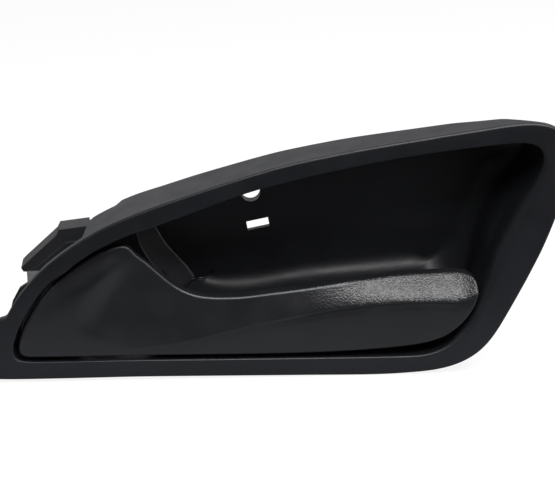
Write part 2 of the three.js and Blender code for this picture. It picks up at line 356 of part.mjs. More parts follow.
const cyl = cylZ;
const pin = join(cyl(AX, AY, PIN_R, 9.2, 38.4, 24), cyl(AX, AY, 3.8, 38.0, 39.6, 24));
const pinGroove = cut(cyl(AX, AY, 5, 9.9, 10.5, 24), cyl(AX, AY, 1.9, 9, 12, 24));
const hingePin = cut(pin, pinGroove);
const clipRing = cut(cyl(AX, AY, 3.4, 9.98, 10.42, 20), cyl(AX, AY, 2.15, 9, 12, 20), box(AX - 1.5, AX + 1.5, AY - 6, AY, 9, 12));

// torsion spring: coil with one leg on the carrier's web and one on the lever carrier's arm
const coil = [];
const turnsDeg = SPRING_TURNS * 360 + 90;
for (let a = 0; a <= turnsDeg; a += 24) {
  const t = a / turnsDeg, r = a * Math.PI / 180 + Math.PI / 2;
  coil.push(new THREE.Vector3(AX + SPRING_R * Math.cos(r) * 1, AY + SPRING_R * Math.sin(r), lerp(SPRING_Z[0], SPRING_Z[1], t)));
}
const endA = turnsDeg * Math.PI / 180 + Math.PI / 2;
coil.unshift(new THREE.Vector3(AX + 6.2, AY + SPRING_R + 0.2, SPRING_Z[0]));
coil.unshift(new THREE.Vector3(AX + 10.5, AY + SPRING_R + 0.3, SPRING_Z[0]));
coil.push(new THREE.Vector3(AX + SPRING_R * Math.cos(endA) - 0.1, AY + 9.0, SPRING_Z[1]));
coil.push(new THREE.Vector3(AX + SPRING_R * Math.cos(endA) - 0.1, AY + 15.5, SPRING_Z[1]));
const springPath = new THREE.CatmullRomCurve3(coil, false, 'catmullrom', 0.5);
const wire = new THREE.Shape(Array.from({ length: 6 }, (_, i) => new THREE.Vector2(SPRING_WIRE * Math.cos(i * Math.PI / 3), SPRING_WIRE * Math.sin(i * Math.PI / 3))));
const springGeometry = new THREE.ExtrudeGeometry(wire, { steps: 74, extrudePath: springPath, bevelEnabled: false });

// rubber stops: the closed stop carries the lever's back, the open stop meets the cable arm
const closedStop = join(cylY(26, 12.8, 3.0, 14.1, POCKET_Y - 0.3, 16), cylY(26, 12.8, 2.2, 13.5, 14.4, 16));
const openStop = box(-44.3, -39.6, 25, CAR_Y0 - 0.3, 16.4, 21.2);

// conduit clip: split collar with a flange each side of the abutment
const CY = AY + ARM_LEN - 0.4;
const conduitClip = cut(join(cylX(CY, 18.6, 2.95, -90, -78.5, 16), cylX(CY, 18.6, 4.4, -87.4, -85.5, 16), cylX(CY, 18.6, 4.4, -82.3, -80.6, 16)), cylX(CY, 18.6, 1.3, -91, -78, 12));

// screws: pan head with a cross recess
function screw(x, z, yHead, dir, len, rs, rh) {
  const y1 = yHead + dir * 1.7, y2 = yHead - dir * len;
  const s = join(cylY(x, z, rh, Math.min(yHead, y1), Math.max(yHead, y1), 16), cylY(x, z, rs, Math.min(y2, yHead + dir * 0.3), Math.max(y2, yHead + dir * 0.3), 10));
  const a = Math.min(y1 - dir * 0.9, y1 + dir * 1), b = Math.max(y1 - dir * 0.9, y1 + dir * 1);
  return cut(s, box(x - rh * 0.6, x + rh * 0.6, a, b, z - 0.35, z + 0.35), box(x - 0.35, x + 0.35, a, b, z - rh * 0.6, z + rh * 0.6));
}
// spring-steel clip: a folded strap straddling a tab, with a barbed outer leg
const trimClip = (x, z) => cut(join(box(x - 3.4, x + 3.4, 16.6, 25.3, z - 2.45, z - 1.85), box(x - 3.4, x + 3.4, 24.4, 25.3, z - 2.45, z + 1.1), box(x - 3.4, x + 3.4, 17.0, 25.3, z + 0.5, z + 1.1)),
  box(x - 1.3, x + 1.3, 17.0, 21, z - 3, z - 1));

// ---------------------------------------------------------------- scene graph
const paint = {
  black_plastic: { color: 0x1d1e21, roughness: 0.5, metalness: 0 },
  lever_plastic: { color: 0x232428, roughness: 0.48, metalness: 0 },
  inner_plastic: { color: 0x17181a, roughness: 0.6, metalness: 0 },
  steel: { color: 0xa9abad, roughness: 0.35, metalness: 1 },
  spring_steel: { color: 0x6f7275, roughness: 0.35, metalness: 1 },
  bush_plastic: { color: 0xd8d4c8, roughness: 0.5, metalness: 0 },
  clip_plastic: { color: 0xd9d6cc, roughness: 0.5, metalness: 0 },
  rubber: { color: 0x111112, roughness: 0.9, metalness: 0 },
  foam: { color: 0x2b2b2d, roughness: 1, metalness: 0 },
};
const handle = new THREE.Group();
const fixed = new THREE.Group(), moving = new THREE.Group();
handle.add(fixed, moving);
function put(group, name, shape, kind) {
  const geometry = shape.isBufferGeometry ? shape : fromSolid(shape);
  geometry.computeVertexNormals();
  const mesh = new THREE.Mesh(geometry, new THREE.MeshStandardMaterial(paint[kind]));
  mesh.name = name;
  mesh.position.set(-PAD[0], -PAD[1], -PAD[2]);
  group.add(mesh);
}
put(fixed, 'bezel_housing', bezel, 'black_plastic');
put(fixed, 'rear_carrier', carrier, 'inner_plastic');
put(fixed, 'hinge_pin', hingePin, 'steel');
put(fixed, 'pin_retaining_clip', clipRing, 'spring_steel');
put(fixed, 'return_spring', springGeometry, 'spring_steel');
put(fixed, 'closed_stop_buffer', closedStop, 'rubber');
put(fixed, 'open_stop_buffer', openStop, 'rubber');
put(fixed, 'cable_conduit_clip', conduitClip, 'clip_plastic');
screwAt.forEach(([x, z], i) => put(fixed, `carrier_screw_${i + 1}`, screw(x, z, CAR_Y1 + 0.3, 1, 9.5, 1.15, 3.0), 'steel'));
TABS.forEach(([x, , z], i) => put(fixed, `trim_clip_${i + 1}`, trimClip(x, z), 'spring_steel'));
put(fixed, 'anti_rattle_pad_upper', box(-34, -8, CAR_Y1 + 0.3, PAD[1] - 0.6, 25, 34), 'foam');
put(fixed, 'anti_rattle_pad_lower', box(-24, -4, CAR_Y1 + 0.3, PAD[1] - 0.6, 9.4, 15.6), 'foam');
put(moving, 'lever_front_shell', leverShell, 'lever_plastic');
put(moving, 'lever_carrier', leverCarrier, 'inner_plastic');
put(moving, 'hinge_bush_lower', bush(KN_LO), 'bush_plastic');
put(moving, 'hinge_bush_upper', bush(KN_HI), 'bush_plastic');
put(moving, 'cable_nipple_collar', nippleCollar, 'clip_plastic');
leverScrews.forEach(([x, z], i) => put(moving, `lever_screw_${i + 1}`, screw(x, z, PLATE_Y[1] + 0.3, 1, PLATE_Y[1] - 2.9 - leverFace(x, z), 1.1, 2.6), 'steel'));

export default handle;
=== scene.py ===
import math

import bmesh
import bpy
import numpy as np
from mathutils import Matrix, Vector
from mathutils.geometry import delaunay_2d_cdt


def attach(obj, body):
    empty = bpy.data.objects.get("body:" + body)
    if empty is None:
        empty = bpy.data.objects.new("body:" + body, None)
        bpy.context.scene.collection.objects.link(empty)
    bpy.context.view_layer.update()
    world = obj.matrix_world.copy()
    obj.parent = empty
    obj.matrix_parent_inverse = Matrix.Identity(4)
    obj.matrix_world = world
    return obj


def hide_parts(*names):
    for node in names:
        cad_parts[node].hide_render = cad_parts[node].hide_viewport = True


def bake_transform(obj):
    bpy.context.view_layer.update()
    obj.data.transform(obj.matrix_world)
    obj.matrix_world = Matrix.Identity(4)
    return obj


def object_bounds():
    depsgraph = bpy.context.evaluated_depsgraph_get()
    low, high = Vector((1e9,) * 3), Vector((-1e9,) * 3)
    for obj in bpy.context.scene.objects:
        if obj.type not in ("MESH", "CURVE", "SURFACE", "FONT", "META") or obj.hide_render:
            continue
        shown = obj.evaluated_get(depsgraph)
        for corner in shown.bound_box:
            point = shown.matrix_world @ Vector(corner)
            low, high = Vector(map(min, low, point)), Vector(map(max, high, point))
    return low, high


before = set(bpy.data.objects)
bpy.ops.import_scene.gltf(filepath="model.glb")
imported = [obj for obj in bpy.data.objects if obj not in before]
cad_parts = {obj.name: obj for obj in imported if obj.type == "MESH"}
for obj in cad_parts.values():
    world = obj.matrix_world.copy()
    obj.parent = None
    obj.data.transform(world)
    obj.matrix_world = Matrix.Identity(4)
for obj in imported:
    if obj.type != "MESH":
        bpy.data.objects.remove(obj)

CAD_BOX = [list(v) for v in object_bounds()]
scene = bpy.context.scene
scene.view_settings.view_transform = "Standard"
scene.view_settings.look = "None"

# Shapes are written in millimetres with the rim's front face at y = 0, x towards the grip, y into the door and z up.
# PAD is the centre of the rear mounting pad in those numbers, and the frame's origin.
PAD = np.array([20.0, 40.0, 31.0])


def place(p):
    return (np.asarray(p, float) - PAD) / 1000.0


# ------------------------------------------------------------------ numbers shared with the CAD
RIM_T, LIP_T, POCKET_Y, CUP_Y = 2.6, 3.2, 17.0, 28.0
CUP_BACK = CUP_Y + 2.3
AX, AY = -62.0, 10.0
PIN_R, BUSH_R = 2.4, 3.1
KN_LO, KN_HI = (13.7, 21.8), (29.6, 34.4)
SPRING_Z, SPRING_R, SPRING_WIRE, SPRING_TURNS = (23.0, 28.6), 3.6, 0.5, 4
ARM_LEN = 23.0
CAR_Y0, CAR_Y1 = 30.9, 33.4
SCREW_HOLE, SCREW_HOLE_R = (-8.1, 58.1), 3.5
SLOT = [(-9.8, 47.1), (-2.0, 48.7), (-1.4, 45.4), (-9.2, 43.8)]
FINE = 8
SEG = [8 * FINE, 12 * FINE, 20 * FINE, 16 * FINE, 16 * FINE, 5 * FINE]
RIM_OUT = [
    [(-102.5, 0.2), (-97.5, -0.4), (-77.4, -0.6), (-50.6, -0.5), (-30, -0.7)],
    [(-30, -0.7), (8, -1.2), (37.4, -1.5), (48.4, -1.0)],
    [(48.4, -1.0), (55.9, -0.3), (62.9, 1.4), (68.6, 4.1), (73.1, 7.8), (76.9, 12.9), (82.3, 23.1), (87.9, 34.6), (92.7, 45.5), (94.7, 51.0), (96.3, 55.8), (98.2, 61.8), (99.6, 67.8), (100.3, 74.3), (100.1, 80), (99.2, 84.3), (97.2, 87.5)],
    [(97.2, 87.5), (94, 89.4), (89.7, 90.3), (84, 90.3), (78.3, 89.7), (71.6, 88.6), (60.3, 87.0), (52.8, 85.8), (26.8, 81.6), (7.6, 77.8), (0.8, 76.2), (-16.3, 71.1), (-35.9, 64.6)],
    [(-35.9, 64.6), (-49, 59.9), (-60.9, 54.6), (-72.3, 47.5), (-81.1, 40.4), (-85.9, 35.2), (-90, 30), (-92.9, 25.2), (-94.3, 23)],
    [(-94.3, 23), (-97, 22.0), (-99.4, 19.2), (-101.9, 14.2), (-103.8, 7.4), (-103.9, 2.8), (-102.5, 0.2)],
]
SKIRT_FOOT = [(-94.3, 23), (-96.2, 17), (-97, 10), (-97, 4), (-95.6, 0.3)]
RIM_IN = [
    [(-91.3, 7.3), (-89.1, 6.3), (-77.2, 6.0), (-50.4, 6.0), (-30, 5.8)],
    [(-30, 5.8), (7.9, 5.5), (37.3, 5.3), (48.5, 5.4)],
    [(48.5, 5.4), (52.0, 5.6), (56.1, 6.3), (60.7, 7.9), (65.2, 10.9), (69, 15), (71.6, 19.9), (73.6, 24.4), (75.8, 29.6), (78.1, 35.2), (82.3, 44), (85.8, 52), (88.5, 60), (90.4, 65.9), (91.9, 71.8), (92.7, 76.5), (92.3, 79.9), (90.8, 82.3)],
    [(90.8, 82.3), (87.8, 83.7), (83.2, 83.9), (78.6, 83.5), (69.5, 82.5), (59.5, 81.4), (39.9, 78.6), (20.4, 74.9), (7.7, 72.1), (0.9, 70.4), (-5.7, 68.7), (-12.3, 66.7), (-29.5, 60.4), (-34, 58.8)],
    [(-34, 58.8), (-42.6, 55.8), (-52.5, 51.9), (-62.5, 47.0), (-70.5, 41.6), (-72.9, 39.4), (-75.9, 37.6), (-78.6, 35.8), (-82.7, 31), (-87.0, 24.6), (-88.6, 21.9)],
    [(-88.6, 21.9), (-90.1, 18.4), (-91.4, 15.4), (-92.2, 12.2), (-92.2, 9), (-91.3, 7.3)],
]
CUP = [
    [(-27.3, 26.4), (-24.0, 25.0)],
    [(-24.0, 25.0), (-16.7, 23.7), (-5.3, 24.4), (9.6, 27.0), (27.7, 28.8), (45.9, 30.2), (50, 30.8)],
    [(50, 30.8), (56, 32.5), (62, 36.5), (67, 43), (71, 51), (75, 60), (78.5, 69), (80, 75)],
    [(80, 75), (76, 78), (66, 78.5), (50, 76.5), (20, 71), (0, 66.5), (-15, 61.5), (-30, 56), (-39, 52.3)],
    [(-39, 52.3), (-43, 48.8), (-40.4, 44), (-36.9, 38.5), (-30.6, 31.3), (-28.8, 29)],
    [(-28.8, 29), (-27.3, 26.4)],
]


def table(rows, v):
    r = np.array(rows, float)
    return np.interp(v, r[:, 0], r[:, 1])


def soft_table(rows, v):
    """Monotone cubic through the rows (no overshoot)."""
    r = np.array(rows, float)
    x, y = r[:, 0], r[:, 1]
    h, d = np.diff(x), np.diff(y) / np.diff(x)
    m = np.zeros(len(x))
    for i in range(1, len(x) - 1):
        if d[i - 1] * d[i] > 0:
            w1, w2 = 2 * h[i] + h[i - 1], h[i] + 2 * h[i - 1]
            m[i] = (w1 + w2) / (w1 / d[i - 1] + w2 / d[i])
    m[0], m[-1] = d[0], d[-1]
    v = np.clip(np.asarray(v, float), x[0], x[-1])
    k = np.clip(np.searchsorted(x, v, side="right") - 1, 0, len(x) - 2)
    t = (v - x[k]) / h[k]
    return (2 * t**3 - 3 * t**2 + 1) * y[k] + (t**3 - 2 * t**2 + t) * h[k] * m[k] + (-2 * t**3 + 3 * t**2) * y[k + 1] + (t**3 - t**2) * h[k] * m[k + 1]


def smooth(t):
    t = np.clip(t, 0, 1)
    return t * t * (3 - 2 * t)


def lerp(a, b, t):
    return a + (b - a) * t


# ------------------------------------------------------------------ closed curves
def spline_loop(points, sub=14):
    """Centripetal Catmull-Rom through a closed loop of points, sub samples to each span."""
    P = np.array(points, float)
    n, out = len(P), []
    for i in range(n):
        p0, p1, p2, p3 = P[(i - 1) % n], P[i], P[(i + 1) % n], P[(i + 2) % n]
        t0 = 0.0
        t1 = t0 + max(1e-6, np.linalg.norm(p1 - p0) ** 0.5)
        t2 = t1 + max(1e-6, np.linalg.norm(p2 - p1) ** 0.5)
        t3 = t2 + max(1e-6, np.linalg.norm(p3 - p2) ** 0.5)
        for s in range(sub):
            t = t1 + (t2 - t1) * s / sub
            a1 = (t1 - t) / (t1 - t0) * p0 + (t - t0) / (t1 - t0) * p1
            a2 = (t2 - t) / (t2 - t1) * p1 + (t - t1) / (t2 - t1) * p2
            a3 = (t3 - t) / (t3 - t2) * p2 + (t - t2) / (t3 - t2) * p3
            b1 = (t2 - t) / (t2 - t0) * a1 + (t - t0) / (t2 - t0) * a2
            b2 = (t3 - t) / (t3 - t1) * a2 + (t - t1) / (t3 - t1) * a3
            out.append((t2 - t) / (t2 - t1) * b1 + (t - t1) / (t2 - t1) * b2)
    return np.array(out)


def resample(line, n, last=False):
    d = np.concatenate([[0], np.cumsum(np.linalg.norm(np.diff(line, axis=0), axis=1))])
    s = np.linspace(0, d[-1], n + 1)
    s = s if last else s[:-1]
    return np.stack([np.interp(s, d, line[:, j]) for j in range(line.shape[1])], 1)


def relax(ring, rounds, keep=(), power=1.0):
    """Evens out a closed curve. Near the points in keep, (x, z, radius), it moves less."""
    r = ring.copy()
    w = np.full(len(r), power)
    for x, z, rad in keep:
        w = np.minimum(w, power * smooth(np.hypot(r[:, 0] - x, r[:, 1] - z) / rad - 0.35))
    for _ in range(rounds):
        r = r + 0.5 * w[:, None] * ((np.roll(r, 1, 0) + np.roll(r, -1, 0)) / 2 - r)
    return r


def anchored(parts, counts, sub=14):
    """One closed smooth curve, cut into counts[i] even steps between the anchors of part i."""
    pts, starts = [], []
    for part in parts:
        starts.append(len(pts))
        pts += part[:-1]
    starts.append(len(pts))
    dense = spline_loop(pts, sub)
    dense = np.vstack([dense, dense[:1]])
    return np.vstack([resample(dense[starts[i] * sub : starts[i + 1] * sub + 1], counts[i]) for i in range(len(parts))])


def inward(ring, soften=3):
    t = np.roll(ring, -1, 0) - np.roll(ring, 1, 0)
    n = np.stack([-t[:, 1], t[:, 0]], 1)
    n /= np.linalg.norm(n, axis=1, keepdims=True)
    for _ in range(soften):
        n = (np.roll(n, 1, 0) + 2 * n + np.roll(n, -1, 0)) / 4
    return n / np.linalg.norm(n, axis=1, keepdims=True)


rim_out = relax(anchored(RIM_OUT, SEG), 26, keep=[(-104, 3, 9), (-94.6, 23, 5)])
rim_in = relax(anchored(RIM_IN, SEG), 22, keep=[(-91.9, 8.6, 6), (-74.8, 38.4, 5)])
cup = relax(anchored(CUP, SEG), 40, keep=[(-28, 27.6, 2)], power=0.9)
N = len(rim_in)
seg_of = np.concatenate([np.full(n, i) for i, n in enumerate(SEG)])
k_of = np.concatenate([np.arange(n) / n for n in SEG])
foot = anchored([[(-95.6, 0.3)] + RIM_OUT[0][2:], RIM_OUT[1], RIM_OUT[2], RIM_OUT[3], RIM_OUT[4], SKIRT_FOOT], SEG)
foot = relax(foot, 14)
w_foot = np.where(seg_of == 5, smooth(k_of * 5), np.where(seg_of == 0, 1 - smooth((k_of - 0.25) * 3), 0.0))
skirt = rim_out + inward(rim_out, 12) * 0.22
skirt = skirt * (1 - w_foot[:, None]) + foot * w_foot[:, None]


def skirt_depth():
    x, z = skirt[:, 0], skirt[:, 1]
    top = table([(-94, 3.4), (-66.9, 3.4), (-66.1, 15.8), (-64.2, 20), (-55.6, 20.4), (-54.0, 23.6), (-49, 23.6), (-39, 22.2), (-29, 21.7), (-15.7, 20.2), (8.8, 18.2), (22, 17.6), (48, 15), (62, 13.7), (73, 11), (78, 10), (83, 6.5), (88, 4.2), (100, 4.2)], x)
    right = table([(0, 15), (12, 12), (30, 8), (60, 5), (88, 4.2)], z)
    tail = table([(0, 15), (8, 12), (16, 5), (20, 3.6), (23, 3.6)], z)
    low = table([(-98, 15), (-90, 16), (40, 16), (48, 15)], x)
    return np.select([(seg_of == 3) | (seg_of == 4), seg_of == 2, seg_of == 5], [top, right, tail], low)


# ------------------------------------------------------------------ profiles with rounded corners
def rounded(ctrl, rad, arc=5, straight=None):
    """ctrl is (N, m, 2) and rad (N, m). Each inner corner becomes an arc, so every profile has the same number of points."""
    n, m, _ = ctrl.shape
    straight = straight or [1] * (m - 1)
    out, last = [ctrl[:, 0]], ctrl[:, 0]
    for j in range(1, m - 1):
        a, b, c = ctrl[:, j - 1], ctrl[:, j], ctrl[:, j + 1]
        d0, d1 = a - b, c - b
        l0, l1 = np.linalg.norm(d0, axis=1), np.linalg.norm(d1, axis=1)
        d0, d1 = d0 / l0[:, None], d1 / l1[:, None]
        half = np.arccos(np.clip((d0 * d1).sum(1), -1, 1)) / 2
        t = rad[:, j] / np.maximum(np.tan(half), 1e-3)
        t = np.minimum(t, np.minimum(l0 * (0.96 if j == 1 else 0.47), l1 * (0.96 if j == m - 2 else 0.47)))
        s, e, w = b + d0 * t[:, None], b + d1 * t[:, None], np.sin(half)[:, None]
        for q in range(1, straight[j - 1]):
            out.append(lerp(last, s, q / straight[j - 1]))
        for q in range(arc + 1):
            v = q / arc
            out.append(((1 - v) ** 2 * s + 2 * w * v * (1 - v) * b + v * v * e) / ((1 - v) ** 2 + 2 * w * v * (1 - v) + v * v))
        last = e
    for q in range(1, straight[-1] + 1):
        out.append(lerp(last, ctrl[:, -1], q / straight[-1]))
    return np.stack(out, 1)


def stack(rows):
    """A list of (u, y) where each may be a number or an array over the loop, as (N, m, 2)."""
    return np.stack([np.stack([np.broadcast_to(np.asarray(u, float), (N,)), np.broadcast_to(np.asarray(y, float), (N,))], 1) for u, y in rows], 1)


def over(rows):
    return np.stack([np.broadcast_to(np.asarray(r, float), (N,)) for r in rows], 1)


L = np.linalg.norm(cup - rim_in, axis=1)
D = (cup - rim_in) / L[:, None]
pick = lambda rows: np.select([seg_of == i for i in range(6)], rows)
pocket = pick([np.ones(N), np.ones(N), 1 - smooth(k_of / 0.22), np.zeros(N), smooth((k_of - 0.08) / 0.25), np.ones(N)])
roll = pick([np.full(N, 0.5), lerp(0.5, 0.8, k_of), soft_table([(0, 0.8), (0.1, 1.6), (0.2, 3.2), (0.28, 4.0), (0.38, 4.6), (0.55, 5.8), (0.75, 4.5), (0.9, 1.8), (1, 0.9)], k_of), np.full(N, 0.8), np.full(N, 0.7), np.full(N, 0.5)])
band = pick([lerp(8, 4.2, smooth(k_of)), np.full(N, 4.2), np.full(N, 4.2), np.full(N, 4.0), lerp(6, 9, smooth(k_of * 2)), lerp(9, 8, k_of)])
rel = 0.8 * np.where((seg_of == 4) | (seg_of == 5), smooth(k_of * 3) if True else 0, 0) * np.where(seg_of == 5, 1 - smooth(k_of * 1.0), 1)
for _ in range(30):
    pocket, roll, band, rel, L = [(np.roll(v, 1) + 2 * v + np.roll(v, -1)) / 4 for v in (pocket, roll, band, rel, L)]
    D = (np.roll(D, 1, 0) + 2 * D + np.roll(D, -1, 0)) / 4
D /= np.linalg.norm(D, axis=1, keepdims=True)
r = roll
cup_r = pick([lerp(2.2, 4.6, smooth(k_of * 3)), np.full(N, 4.6), np.full(N, 4.6), np.full(N, 3.0), lerp(3.0, 1.3, smooth(k_of * 3)), lerp(1.3, 2.2, k_of)])
foot_wide = pick([np.zeros(N), smooth(k_of / 0.15), 1 - smooth(k_of / 0.1), np.zeros(N), np.zeros(N), np.zeros(N)])
for _ in range(40):
    foot_wide, cup_r = [(np.roll(v, 1) + 2 * v + np.roll(v, -1)) / 4 for v in (foot_wide, cup_r)]
P = stack([(-0.62, 0.07), (0, 0.0), (0, 2.6), (-rel, 2.9), (-rel + 0.1, POCKET_Y), (L - band, POCKET_Y), (L - 0.15 * band, CUP_Y), (L + 4.5 + 3.5 * foot_wide, CUP_Y)])
Pr = over([0, 0.55, 0.15, 0.15, 1.2, 0.3 + 0.25 * cup_r, cup_r + 2.6 * foot_wide, 0])
wide = pick([np.zeros(N), np.zeros(N), smooth((k_of - 0.12) / 0.3) * smooth((1.0 - k_of) / 0.12), np.zeros(N), np.zeros(N), np.zeros(N)])
for _ in range(60):
    wide = (np.roll(wide, 1) + 2 * wide + np.roll(wide, -1)) / 4
T = stack([(-0.3, 0.04), (r, 0), (r + 0.3 + 0.5 * wide, r + 4.5), (np.minimum(r + 0.9 + 1.4 * wide, L - 3.2), 13), (np.minimum(r + 1.6 + 2.0 * wide, L - 2.8), 17), (np.minimum(r + 2.4 + 2.6 * wide, L - 2.2), 21.5 + 0.8 * wide), (np.maximum(r + 3.2, L - 0.6 + 3.5 * wide), CUP_Y), (L + 2.5 + 13 * wide, CUP_Y)])
Tr = over([0, r, 3 + 10 * wide, 3 + 20 * wide, 3 + 20 * wide, 3 + 14 * wide, 3.6 + 22 * wide, 0])
pk = pocket[:, None, None]
front = rounded(T * (1 - pk) + P * pk, Tr * (1 - pk[:, :, 0]) + Pr * pk[:, :, 0], arc=6, straight=[1, 2, 1, 3, 3, 3, 1])
Pb = stack([(-rel - 1.9, RIM_T), (-rel - 1.9, POCKET_Y + 1.5), (-rel - 1.1, POCKET_Y + 2.2), (L - band - 1.6, POCKET_Y + 2.2), (L - band * 0.15 - 2.1, CUP_BACK), (L + 2, CUP_BACK)])
Tb = stack([(-1.9, RIM_T), (np.maximum(-1.9, r - 2.1), np.maximum(RIM_T + 1.2, r + 3)), (np.minimum(r - 1.2, L - 5), 14), (np.minimum(r - 0.4, L - 4.6), 20), (L - 3.4, CUP_BACK), (L + 2, CUP_BACK)])
back = rounded(Tb * (1 - pk) + Pb * pk, over([0, 0.8, 0.8, 0.8, 1.6, 0]), arc=4, straight=[1, 1, 2, 2, 1])


def ring_at(flat, y):
    return np.stack([flat[:, 0], np.broadcast_to(np.asarray(y, float), (len(flat),)), flat[:, 1]], 1)


def along(profile):
    """(N, K, 2) of (u, y) to K rings of points."""
    x = rim_in[:, None, 0] + D[:, None, 0] * profile[:, :, 0]
    z = rim_in[:, None, 1] + D[:, None, 1] * profile[:, :, 0]
    pts = np.stack([x, profile[:, :, 1], z], 2)
    return [pts[:, j] for j in range(pts.shape[1])]


depth = skirt_depth()
depth = relax(np.stack([depth, depth], 1), 2)[:, 0]
n_out = inward(rim_out, 6)
n_sk = inward(skirt, 24)
rings = [*reversed(along(front))]
edge = 0.85
rings += [ring_at(rim_out + n_out * 2.6, 0.0)]
for q in range(6):
    a = math.pi / 2 * q / 5
    rings.append(ring_at(rim_out + n_out * edge * (1 - math.sin(a)), 0.05 + edge * (1 - math.cos(a))))
rings += [ring_at(rim_out, LIP_T - 0.25), ring_at(rim_out + n_out * 0.1, LIP_T)]
rings += [ring_at(skirt, LIP_T + 0.02), ring_at(skirt, LIP_T + 0.3), ring_at(skirt, lerp(LIP_T + 0.3, depth, 0.5)), ring_at(skirt, depth - 0.35), ring_at(skirt + n_sk * 0.12, depth - 0.08), ring_at(skirt + n_sk * 0.4, depth)]
inner = relax(skirt + n_sk * 2.0, 6)
rings += [ring_at(lerp(skirt, inner, 0.8), depth), ring_at(inner, depth - 0.4), ring_at(inner, RIM_T + 0.5), ring_at(relax(skirt + n_sk * 2.5, 6), RIM_T)]
rings += along(back)


# ------------------------------------------------------------------ mesh tools
def new_object(name, verts, faces, already_placed=False):
    me = bpy.data.meshes.new(name)
    v = np.asarray(verts, float) if already_placed else place(verts)
    me.from_pydata(v.tolist(), [], [list(map(int, f)) for f in faces])
    ob = bpy.data.objects.new(name, me)
    scene.collection.objects.link(ob)
    bm = bmesh.new()
    bm.from_mesh(me)
    bmesh.ops.remove_doubles(bm, verts=bm.verts, dist=2e-6)
    bmesh.ops.dissolve_degenerate(bm, edges=bm.edges, dist=1e-6)
    bmesh.ops.recalc_face_normals(bm, faces=bm.faces)
    if bm.calc_volume(signed=True) < 0:
        bmesh.ops.reverse_faces(bm, faces=bm.faces)
    bm.to_mesh(me)
    bm.free()
    me.update()
    return ob


def loft(name, ring_list):
    n = len(ring_list[0])
    verts = np.vstack(ring_list)
    i = np.arange(n)
    faces = []
    for k in range(len(ring_list) - 1):
        a, b = k * n + i, k * n + (i + 1) % n
        faces += np.stack([a, b, b + n, a + n], 1).tolist()
    faces.append(list(reversed(range(n))))
    faces.append([(len(ring_list) - 1) * n + j for j in range(n)])
    return new_object(name, verts, faces)


def bake_modifiers(ob):
    dg = bpy.context.evaluated_depsgraph_get()
    me = bpy.data.meshes.new_from_object(ob.evaluated_get(dg))
    ob.modifiers.clear()
    old = ob.data
    ob.data = me
    bpy.data.meshes.remove(old)
    return ob


def carve(ob, tools, operation):
    """Joins the tool objects to ob, or cuts them from it, one after another."""
    for tool in tools:
        m = ob.modifiers.new("carve", "BOOLEAN")
        m.operation, m.object, m.solver = operation, tool, "EXACT"
        bpy.context.view_layer.update()
        bake_modifiers(ob)
        me = tool.data
        bpy.data.objects.remove(tool)
        bpy.data.meshes.remove(me)
    return ob


def finish_mesh(ob, angle=34.0, weighted=True):
    me = ob.data
    bm = bmesh.new()
    bm.from_mesh(me)
    bmesh.ops.remove_doubles(bm, verts=bm.verts, dist=1.5e-6)
    bmesh.ops.dissolve_degenerate(bm, edges=bm.edges, dist=1e-6)
    bmesh.ops.delete(bm, geom=[v for v in bm.verts if not v.link_faces], context="VERTS")
    bm.to_mesh(me)
    bm.free()
    me.polygons.foreach_set("use_smooth", [True] * len(me.polygons))
    me.set_sharp_from_angle(angle=math.radians(angle))
    me.update()
    if weighted:
        m = ob.modifiers.new("normals", "WEIGHTED_NORMAL")
        m.keep_sharp, m.weight = True, 50
    return ob


def block(name, x0, x1, y0, y1, z0, z1, bevel=0.0, segments=3):
    bm = bmesh.new()
    bmesh.ops.create_cube(bm, size=1)
    for v in bm.verts:
        v.co = Vector(((x0 + x1) / 2 + v.co.x * (x1 - x0), (y0 + y1) / 2 + v.co.y * (y1 - y0), (z0 + z1) / 2 + v.co.z * (z1 - z0)))
    if bevel:
        bmesh.ops.bevel(bm, geom=bm.edges[:], offset=bevel, segments=segments, profile=0.5, affect="EDGES")
    verts, faces = [v.co[:] for v in bm.verts], [[v.index for v in f.verts] for f in bm.faces]
    bm.free()
    return new_object(name, verts, faces)


AXES = {"x": np.array([[0, 0, 1], [1, 0, 0], [0, 1, 0]]), "y": np.array([[1, 0, 0], [0, 0, 1], [0, 1, 0]]), "z": np.array([[1, 0, 0], [0, 1, 0], [0, 0, 1]])}


def lathe(name, axis, centre, profile, n=64, wobble=None):
    """profile is a closed or open list of (radius, height along the axis). A radius of 0 closes an end, and a ring profile is closed on itself."""
    A = AXES[axis].astype(float)
    ang = np.linspace(0, 2 * math.pi, n, endpoint=False)
    closed = profile[0][0] > 1e-6
    ringset, faces, verts = [], [], []
    for rad, h in profile:
        if rad < 1e-6:
            ringset.append([len(verts)] * n)
            verts.append(np.array([0, 0, h]))
        else:
            ringset.append(list(range(len(verts), len(verts) + n)))
            for a in ang:
                q = rad + (wobble(a, h, rad) if wobble else 0)
                verts.append(np.array([q * math.cos(a), q * math.sin(a), h]))
    pairs = list(zip(ringset, ringset[1:])) + ([(ringset[-1], ringset[0])] if closed else [])
    for a, b in pairs:
        for i in range(n):
            f = []
            for v in (a[i], a[(i + 1) % n], b[(i + 1) % n], b[i]):
                if v not in f:
                    f.append(v)
            if len(f) > 2:
                faces.append(f)
    verts = np.array(verts)
    out = np.zeros_like(verts)
    cx, cy, cz = centre
    if axis == "z":
        out = verts + np.array([cx, cy, 0])
    elif axis == "y":
        out = np.stack([verts[:, 0] + cx, verts[:, 2], verts[:, 1] + cz], 1)
    else:
        out = np.stack([verts[:, 2], verts[:, 0] + cy, verts[:, 1] + cz], 1)
    return new_object(name, out, faces)


def soft_profile(points, radii, arc=4):
    """A polyline of (r, h) with its corners rounded."""
    c = np.array(points, float)[None]
    return rounded(c, np.array(radii, float)[None], arc=arc)[0].tolist()


